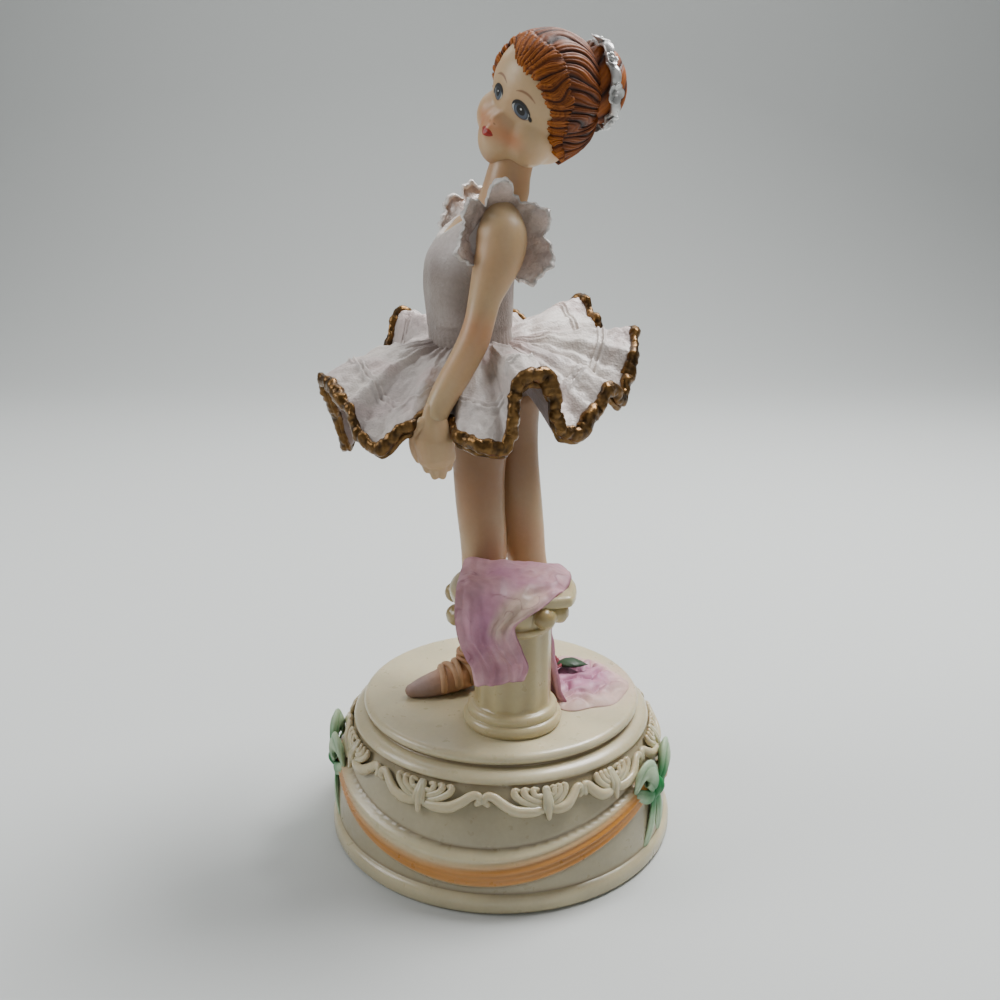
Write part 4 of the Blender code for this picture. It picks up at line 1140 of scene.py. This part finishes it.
NEAR_LEG = (
    (-2.6, -1.5, 68, 7.0), (-4.4, -2.0, 60, 6.3), (-4.8, -2.0, 53, 5.7), (-4.6, -1.6, 45, 5.4),
    (-4.0, -1.0, 37, 5.2), (-3.9, -0.4, 31, 5.0), (-4.8, 0.4, 23, 4.3), (-6.0, 0.6, 15, 3.3),
    (-7.0, 0.2, 8, 2.7), (-7.2, 0.0, 3.6, 3.0),
)
FAR_LEG = (
    (2.6, 5.5, 68, 6.2), (3.0, 6.0, 60, 5.3), (3.1, 6.2, 53, 5.4), (3.9, 6.4, 44, 5.4),
    (4.9, 6.6, 35, 5.2), (6.2, 7.4, 29, 4.4), (7.6, 8.2, 22, 4.0), (8.2, 8.8, 14, 3.2),
    (8.4, 9.0, 8, 2.7), (8.4, 9.0, 3.6, 2.9),
)
NEAR_FOOT = (
    (-4.6, 1.0, 3.2, 2.4), (-7.6, -0.2, 3.7, 3.5), (-11.0, -1.8, 3.3, 3.6), (-14.6, -3.2, 2.5, 3.2),
    (-18.0, -4.4, 1.9, 2.6), (-20.2, -5.2, 1.6, 1.8),
)
FAR_FOOT = (
    (9.4, 7.0, 3.2, 2.4), (8.2, 10.0, 3.6, 3.3), (6.6, 13.4, 3.0, 3.3), (5.0, 16.6, 2.2, 2.9),
    (4.0, 19.4, 1.6, 1.9),
)


# Height or share of the foot, and lean of each ribbon
ANKLE_RIBBONS = ((5.2, 0.5), (7.4, -0.6), (9.4, 0.4))
INSTEP_RIBBONS = ((0.3, 0.9), (0.38, -0.7), (0.46, 0.8), (0.54, -0.6))


def shoe(points, leg, name):
    """A ballet shoe with ribbons folded over the instep and wound round the ankle."""
    path, radii = rounded(points, 34)
    path = [dancer(*p) for p in path]

    def colour(across, down, spot):
        toe = smooth(down * 2.4 - 0.9)
        shade = tint(RIBBON, SHOE, toe)
        pleats = ridge(9 * down + 1.6 * across)
        shade = tint(shade, SKIN_SHADE, 0.45 * (1 - pleats) * (1 - toe))
        return tint(shade, SKIN_SHADE, 0.5 * smooth((BASE_H + 1.0 - spot.z) / 1.0))

    def pleat(across, down):
        toe = smooth(down * 2.4 - 0.9)
        return 1.0 + 0.06 * (ridge(9 * down + 1.6 * across) - 0.5) * (1 - toe)

    made = [tube(path, radii, 44, colour, 0.9, UP, pleat)]
    ankle = Vector((leg[-2][0], leg[-2][1], BASE_H))
    for height, lean in ANKLE_RIBBONS:
        out = 3.1 - 0.04 * (height - 5.0)
        turns = [2 * math.pi * k / 32 for k in range(33)]
        ring = [ankle + turned(out, turn, height + lean * math.cos(turn)) for turn in turns]
        made.append(tube(ring, [0.55] * 33, 10, RIBBON, 1.0, UP))
    for share, lean in INSTEP_RIBBONS:
        place = round(share * (len(path) - 1))
        centre, radius = path[place], radii[place] + 0.25
        ahead = (path[place + 1] - path[place - 1]).normalized()
        across = ahead.cross(UP).normalized()
        strap = []
        for k in range(21):
            turn = math.pi * (k / 20 * 1.2 - 0.1)
            rise = across * math.cos(turn) + UP * 0.9 * math.sin(turn)
            strap.append(centre + rise * radius + ahead * lean * math.cos(turn))
        made.append(tube(strap, [0.75] * 21, 12, tint(RIBBON, CREAM, 0.2), 1.0, ahead))
    bm = join(made)
    for vert in bm.verts:
        vert.co.z = max(vert.co.z, BASE_H - 0.25)
    crevice_wash_and_shade(bm, SKIN_SHADE, 2.0)
    piece(bm, name, RESIN_CLOTH)


def legs():
    for points, name in ((NEAR_LEG, "near_leg"), (FAR_LEG, "far_leg")):
        piece(skin_limb(points, 0.58, BASE_H + 34.0), name, RESIN_SKIN)
    shoe(NEAR_FOOT, NEAR_LEG, "near_shoe")
    shoe(FAR_FOOT, FAR_LEG, "far_shoe")


# Head, in its own axes: left, ahead, up
HEAD = Vector((8.9, -1.0, 130.2))
SKULL_R = 10.8
HEAD_AHEAD = Vector((-0.674, -0.737, 0.049)).normalized()
HEAD_TILT = Vector((0.431, -0.338, 0.837))
HEAD_UP = (HEAD_TILT - HEAD_AHEAD * HEAD_TILT.dot(HEAD_AHEAD)).normalized()
HEAD_LEFT = HEAD_UP.cross(HEAD_AHEAD)
BUN_WAY = Vector((0.96, 0.25, 0.13)).normalized()
HEAD_MIDDLE = Vector((0, 2.0, -5.5))
HEAD_BLOBS = (
    (0, 0, 0, SKULL_R), (4.0, 3.2, -8.2, 5.8), (-4.0, 3.2, -8.2, 5.8), (0, 5.4, -9.6, 5.7),
    (4.2, -0.8, -7.2, 5.8), (-4.2, -0.8, -7.2, 5.8), (1.8, -3.5, -3.8, 8.4), (0, 2.6, -3.6, 7.4),
)
HAIRLINE = (
    (-180, 112), (-150, 104), (-134, 98), (-130, 84), (-116, 64), (-101, 55), (-90, 44), (-84, 42),
    (-76, 47), (-66, 55), (-58, 56), (-50, 47), (-40, 35), (-28, 24), (-12, 19.5), (0, 18.5), (12, 20.5),
    (24, 18.5), (38, 20), (44, 25), (52, 26), (60, 31.5), (69, 31), (75, 37), (84, 41), (91, 47),
    (96, 54), (101, 56), (108, 57), (116, 63), (122, 69), (126, 76), (130, 83), (136, 98), (150, 106),
)
PARTING = (
    (-180, 112), (-134, 99), (-110, 80), (-83, 74), (-59, 65), (-37, 60), (3, 52), (20, 56), (37, 61),
    (59, 65), (83, 74), (110, 82), (134, 99),
)
FACE_BUMPS = (
    (3.9, 9.6, -3.9, -0.5, 0.24), (-2.8, 9.6, -3.9, -0.5, 0.24), (0.6, 10.6, -6.9, 1.0, 0.14),
    (0.6, 10.0, -3.9, 0.35, 0.18), (0.3, 11.4, -10.5, 0.45, 0.14), (0, 5.4, -14.5, 1.3, 0.42),
    (3.95, 9.9, -3.4, 0.42, 0.15), (-2.75, 9.9, -3.4, 0.42, 0.15), (1.5, 11.2, -7.4, 0.22, 0.07),
    (-0.3, 11.2, -7.4, 0.22, 0.07), (0.6, 12.3, -7.1, 0.35, 0.09), (0.25, 11.8, -9.5, 0.24, 0.08),
    (0.25, 11.6, -10.6, 0.3, 0.08), (0.25, 11.8, -10.0, -0.22, 0.04),
)


def bump(way, at, width):
    return math.exp(-((way - at).length_squared) / (width * width))


BUMPS = []
for x, y, z, height, width in FACE_BUMPS:
    BUMPS.append(((Vector((x, y, z)) - HEAD_MIDDLE).normalized(), height, width))


def head_radius(way):
    """How far the head reaches along a direction (left, ahead, up) from its middle."""
    weight, total = 0.0, 0.0
    for x, y, z, blob_r in HEAD_BLOBS:
        offset = Vector((x, y, z)) - HEAD_MIDDLE
        near = way.dot(offset)
        reach = near + math.sqrt(blob_r * blob_r - offset.length_squared + near * near)
        weight += reach ** 14
        total += reach ** 15
    radius = total / weight
    if way.y > 0:
        for at, height, width in BUMPS:
            radius += height * bump(way, at, width)
    return radius


def head_point(local):
    return dancer(*(HEAD + HEAD_LEFT * local.x + HEAD_AHEAD * local.y + HEAD_UP * local.z))


def face_polar(local):
    """The angle round the way the face looks, and off it, of a point in the head's axes."""
    spot = local.normalized()
    return math.degrees(math.atan2(spot.x, spot.z)), math.degrees(math.acos(max(-1.0, min(1.0, spot.y))))


def fringe(angle, off_axis):
    """Locks of the fringe, which sweep from the parting to the hairline."""
    turn = math.radians(angle)
    uneven = grain((2.4 * math.cos(turn), 2.4 * math.sin(turn), off_axis / 26.0), 1.0, 4.0)
    return angle / 12.5 + 0.03 * off_axis + 0.35 * math.sin(3.0 * turn) + 0.75 * uneven


FACE_SHARE = 0.72
FACE_REACH = 72.0
FACE_X = 0.6
EYE_X = 3.35
EYE_Z = -3.4
MOUTH_Z = -10.0
EYE_WHITE = srgb(176, 178, 174)
IRIS = srgb(78, 88, 102)
LASH = srgb(14, 8, 6)
BROW = srgb(112, 62, 34)
LIPS = srgb(160, 30, 14)
BLUSH = srgb(190, 104, 50)


def face_paint(local, colour):
    """Paints eyes, brows, lips and blush on the face, with painted shade in the eye sockets and at the
    nostrils, and a painted highlight in each eye.
    """
    x, z = local.x - FACE_X, local.z
    out = abs(x) - EYE_X
    level = z - EYE_Z + 0.12 * out
    blush = math.exp(-(((abs(x) - 4.2) / 2.7) ** 2 + ((z + 9.0) / 1.9) ** 2))
    muzzle = math.exp(-((x / 2.6) ** 2 + ((z + 8.4) / 2.4) ** 2))
    colour = tint(colour, BLUSH, 0.62 * blush + 0.42 * muzzle)
    socket = math.exp(-((out / 2.7) ** 2 + (level / 2.2) ** 2))
    colour = tint(colour, SKIN_SHADE, 0.3 * socket)
    span = 1.0 - (out / 1.95) ** 2
    if span > 0:
        top = 1.42 * span ** 0.62
        low = -1.35 * span ** 0.75
        inside = smooth(min(top - level, level - low) / 0.1 + 0.5)
        eye = EYE_WHITE
        away = math.hypot(out - 0.05, level - 0.1)
        eye = tint(eye, tint(IRIS, LASH, 0.6), 1.0 - smooth((away - 1.42) / 0.14))
        eye = tint(eye, IRIS, 1.0 - smooth((away - 1.22) / 0.14))
        eye = tint(eye, LASH, 0.75 * smooth((level - 0.1) / 0.8))
        eye = tint(eye, LASH, 1.0 - smooth((math.hypot(out - 0.05, level - 0.18) - 0.8) / 0.12))
        # A painted highlight of caught light in each eye.
        catchlight = math.hypot(x - math.copysign(EYE_X, x) - 0.1, level - 0.4)
        eye = tint(eye, EYE_CATCHLIGHT, 1.0 - smooth((catchlight - 0.1) / 0.1))
        colour = tint(colour, eye, inside)
        lid = abs(level - top - 0.08) - 0.3
        colour = tint(colour, LASH, 1.0 - smooth(lid / 0.12))
        under = abs(level - low) - 0.03
        colour = tint(colour, BROW, 0.6 * (1.0 - smooth(under / 0.14)))
    wing = math.hypot((out - 1.95) / 0.36, (level + 0.25) / 0.5)
    colour = tint(colour, LASH, 1.0 - smooth((wing - 0.8) / 0.5))
    arch = level - (3.55 + 0.1 * out - 0.16 * (out - 0.1) ** 2)
    thin = 0.15 * (1.0 - smooth((abs(out - 0.1) - 0.9) / 1.2))
    if abs(out - 0.1) < 2.1 and level > 0:
        colour = tint(colour, BROW, 0.7 * (1.0 - smooth((abs(arch) - thin) / 0.16)))
    reach = 1.0 - ((x + 0.35) / 1.6) ** 2
    lift = z - MOUTH_Z
    if reach > 0:
        upper = 0.8 * reach ** 0.8 - 0.2 * math.exp(-((x + 0.35) / 0.4) ** 2)
        lower = -0.85 * reach ** 0.7
        inside = min(upper - lift, lift - lower)
        colour = tint(colour, LIPS, smooth(inside / 0.12 + 0.5))
        colour = tint(colour, tint(LIPS, LASH, 0.6), 0.7 * (1.0 - smooth((abs(lift - 0.03) - 0.04) / 0.1)))
    nostril = math.hypot((abs(x) - 0.6) / 1.2, z + 7.9)
    return tint(colour, SKIN_SHADE, 0.6 * (1.0 - smooth((nostril - 0.12) / 0.16)))


def head():
    """Face and skull, finest round the middle of the face."""
    def place(across, down):
        turn = 2 * math.pi * across
        if down < FACE_SHARE:
            polar = FACE_REACH * down / FACE_SHARE
        else:
            polar = mix(FACE_REACH, 179.9, (down - FACE_SHARE) / (1.0 - FACE_SHARE))
        polar = max(math.radians(polar), 0.002)
        way = Vector((math.sin(polar) * math.cos(turn), math.cos(polar), math.sin(polar) * math.sin(turn)))
        local = way * head_radius(way) + HEAD_MIDDLE
        colour = tint(SKIN, SKIN_PEACH, 0.1 + 0.1 * grain(local, 6.0, 3.0))
        colour = tint(colour, SKIN_SHADE, 0.5 * smooth((-12.5 - local.z) / 4.0))
        if local.y > 2.0:
            colour = face_paint(local, colour)
        return head_point(local), colour

    bent_piece("head", 360, 190, place, RESIN_SKIN)


# No paint has this colour, which marks what lies beyond the hairline
BARE = (-1.0, 0.0, 0.0)


def hair():
    """The combed hair: a fringe in pointed locks, and waves from the parting back to the bun."""
    bun_way = Vector((BUN_WAY.dot(HEAD_LEFT), BUN_WAY.dot(HEAD_AHEAD), BUN_WAY.dot(HEAD_UP)))
    side, other = square_to(bun_way)

    def place(across, down):
        turn = 2 * math.pi * across
        polar = math.radians(mix(0.5, 152.0, down))
        way = bun_way * math.cos(polar) + around(side, other, turn) * math.sin(polar)
        radius = head_radius(way)
        angle, off_axis = face_polar(way * radius + HEAD_MIDDLE)
        sweep = fringe(angle, off_axis)
        strip = ridge(sweep * 2.6 + 0.3)
        tips = 4.6 * (ridge(sweep) - 0.62) + 2.6 * (strip - 0.6)
        share = smooth((off_axis + tips - periodic(HAIRLINE, angle)[0]) / 3.2)
        uneven = grain((6 * math.cos(turn), 6 * math.sin(turn), 2 * polar), 1.6)
        parting = periodic(PARTING, angle)[0] + 4.0 * uneven + 5.0 * (strip - 0.5)
        front = smooth((parting - off_axis) / 6.0)
        seam = math.exp(-((front - 0.5) / 0.3) ** 2)
        wave = 36 * across + 0.55 * math.sin(4 * polar) + 0.75 * uneven
        back_lock = ridge(wave) * (0.75 + 0.35 * grain((9 * across, 5 * polar, 2.0), 1.2))
        lock = mix(back_lock, 0.65 * ridge(sweep) + 0.35 * strip, front)
        strand = mix(ridge(wave * 3.1 + uneven), ridge(sweep * 6.3 + 0.4 * uneven), front)
        relief = mix(0.6, 0.62, front) * lock + mix(0.26, 0.42, front) * strand
        lift = mix(-0.75, 0.55, share) + share * (relief - 0.42 - 0.3 * seam)
        spot = head_point(way * (radius + lift) + HEAD_MIDDLE)
        near_edge = front * smooth(1.0 - (off_axis - periodic(HAIRLINE, angle)[0]) / 22.0)
        # Painted shade in the grooves between locks and strands and along the seam of fringe and back;
        # painted highlight on the crests, strongest near the front hairline.
        colour = tint(HAIR_DARK, HAIR, smooth(lock * 1.7 - 0.35))
        crest_highlight = smooth(lock * 2.2 - 1.1) * smooth(strand * 1.6 - 0.4)
        colour = tint(colour, HAIR_HIGHLIGHT, (0.3 + 0.25 * front + 0.45 * near_edge) * crest_highlight)
        colour = tint(colour, HAIR_DARK, 0.4 * (1 - strand) * (1 - 0.4 * near_edge) + 0.35 * seam)
        return spot, colour if share > 0.0 else BARE

    bm = surface(620, 150, place, wrap=True)
    paint = bm.verts.layers.float_color["paint"]
    bare = {v for v in bm.verts if v[paint][0] < 0}
    lone = [v for v in bare if all(e.other_vert(v) in bare for e in v.link_edges)]
    bmesh.ops.delete(bm, geom=lone, context="VERTS")
    for vert in bm.verts:
        if vert[paint][0] < 0:
            vert[paint] = (*HAIR_DARK, 1.0)
    piece(bm, "hair", RESIN_HAIR)


# How far out along the bun's way, and the radius there
BUN_PROFILE = (
    (7.0, 6.0), (8.6, 6.7), (10.4, 7.1), (12.0, 7.1), (13.4, 6.6), (14.6, 5.6), (15.5, 4.2), (16.0, 2.4),
    (16.1, 0.1),
)
WREATH_FLOWERS = 8


def bun():
    """The coiled bun."""
    side, other = square_to(BUN_WAY)

    def place(across, down):
        far, radius = along(BUN_PROFILE, down)
        turn = 2 * math.pi * across
        swirl = 7 * across + 2.4 * down
        locks = ridge(swirl)
        strands = ridge(swirl * 5.0)
        radius *= 0.94 + 0.08 * locks + 0.015 * strands
        spot = HEAD + BUN_WAY * far + around(side, other, turn) * radius
        # Painted shade in the grooves between locks, and a painted highlight on the crests of the strands.
        colour = tint(HAIR_DARK, HAIR, smooth(locks * 1.1 - 0.1))
        colour = tint(colour, HAIR_HIGHLIGHT, 0.5 * smooth(locks * 2.0 - 1.2) * strands)
        return dancer(*spot), colour

    bent_piece("bun", 260, 80, place, RESIN_HAIR)


def wreath():
    """Silvery flowers and ribbon round the bun."""
    side, other = square_to(BUN_WAY)
    made = []
    for i in range(WREATH_FLOWERS):
        turn = 2 * math.pi * i / WREATH_FLOWERS + 0.35
        spoke = around(side, other, turn)
        centre = HEAD + BUN_WAY * 11.2 + spoke * 7.7
        normal = (spoke + BUN_WAY * 0.4).normalized()
        big = 1.9 + 0.45 * math.sin(2.3 * i)
        made.append(petal_ring(dancer(*centre), normal, big, 0.9, 5, 0.6, SILVER, 0.6 * i))
        bead = [(*(centre + normal * 0.3), 0.55), (*(centre + normal * 0.8), 0.55)]
        made.append(rod(bead, 4, 12, SILVER, 1.0, BUN_WAY, lift=BASE_H))
        band = []
        for share in range(7):
            way = around(side, other, turn + 2 * math.pi / WREATH_FLOWERS * share / 6)
            bulge = math.sin(math.pi * share / 6)
            spot = HEAD + BUN_WAY * (10.9 + 0.9 * bulge) + way * (7.2 + 1.1 * bulge)
            band.append((*spot, 0.45 + 0.6 * bulge))
        made.append(rod(band, 26, 18, SILVER, 0.55, spoke, lift=BASE_H))
    joined_piece("wreath", made, RESIN_SILVER, SILVER_SHADE, 1.4)


# Camera, light and floor
def camera():
    data = bpy.data.cameras.new("camera")
    made = bpy.data.objects.new("camera", data)
    bpy.context.collection.objects.link(made)
    made.location = (-0.00025, -0.2151, 0.1382)
    made.rotation_euler = (math.radians(90 - 15.77), 0, 0)
    data.sensor_fit = "HORIZONTAL"
    data.angle = 2 * math.atan(500 / 1005)
    data.clip_start = 0.01
    bpy.context.scene.camera = made


# Each lamp's place and aim in metres, its size and its power in watts
DANCER_AIM = (0, 0, 0.08)
LAMPS = (
    ("key", (0.26, 0.16, 0.6), DANCER_AIM, 0.3, 7.5), ("side", (-0.62, -0.05, 0.45), DANCER_AIM, 0.35, 2.6),
    ("fill", (0.3, -0.65, 0.4), DANCER_AIM, 0.6, 0.8), ("back", (-0.1, 0.4, 0.75), DANCER_AIM, 0.6, 2.2),
    ("backdrop", (0.0, 0.3, 0.95), (0, 1.3, 0.5), 0.8, 7.0),
)


def studio():
    """A pale floor that curves up behind, and soft light on the dancer and on the backdrop."""
    def sweep(across, down):
        run = mix(-2.4, 1.8, down)
        y, z = run, 0.0
        if run > 0.6:
            bend = min((run - 0.6) / 0.9, 1.0) * math.pi / 2
            y = 0.6 + 0.6 * math.sin(bend)
            z = 0.6 * (1 - math.cos(bend)) + max(0.0, run - 1.5) * 6.0
        return Vector((mix(-3.0, 3.0, across), y, z)), (1.0, 1.0, 1.0)

    bm = surface(2, 80, sweep)
    mesh = bpy.data.meshes.new("floor")
    bm.to_mesh(mesh)
    bm.free()
    mesh.shade_smooth()
    floor = bpy.data.objects.new("floor", mesh)
    bpy.context.collection.objects.link(floor)
    paper = bpy.data.materials.new("paper")
    paper.use_nodes = True
    shader = paper.node_tree.nodes["Principled BSDF"]
    shader.inputs["Base Color"].default_value = (0.52, 0.54, 0.53, 1)
    shader.inputs["Roughness"].default_value = 0.85
    mesh.materials.append(paper)
    world = bpy.data.worlds.new("studio")
    bpy.context.scene.world = world
    world.use_nodes = True
    world.node_tree.nodes["Background"].inputs["Color"].default_value = (0.82, 0.84, 0.85, 1)
    world.node_tree.nodes["Background"].inputs["Strength"].default_value = 0.15
    for name, spot, aim, size, power in LAMPS:
        data = bpy.data.lights.new(name, "AREA")
        data.size = size
        data.energy = power
        made = bpy.data.objects.new(name, data)
        bpy.context.collection.objects.link(made)
        made.location = spot
        made.rotation_euler = (Vector(aim) - Vector(spot)).to_track_quat("-Z", "Y").to_euler()


camera()
studio()
drum()
frieze()
for index, bow_angle in enumerate(BOW_ANGLES):
    bow(index, bow_angle)
column()
capital()
folded_cloth("cloth_over", CLOTH_OVER, 240, 160, 1.3, OVER_FOLDS)
folded_cloth("cloth_behind", CLOTH_BEHIND, 100, 80, 1.0, BEHIND_FOLDS)
cloth_pool()
rose()
upper_body()
bodice()
flounce("tutu_top", 0.0, 1.2, 1.0, 0.3)
flounce("tutu_under", 2.1, 0.9, 0.955, 0.2)
hem_roll("gold_hem", 1.0, -0.6, 1.08, 1100, 0.42)
hem_roll("under_hem", 0.965, -2.9, 0.6, 700, 0.2)
ruffle(Vector((-0.8, -10.6, 102.8)), "near_ruffle", 1, NEAR_RIM)
ruffle(Vector((-4.6, 9.4, 102.4)), "far_ruffle", -1, FAR_RIM)
arms()
legs()
head()
hair()
bun()
wreath()
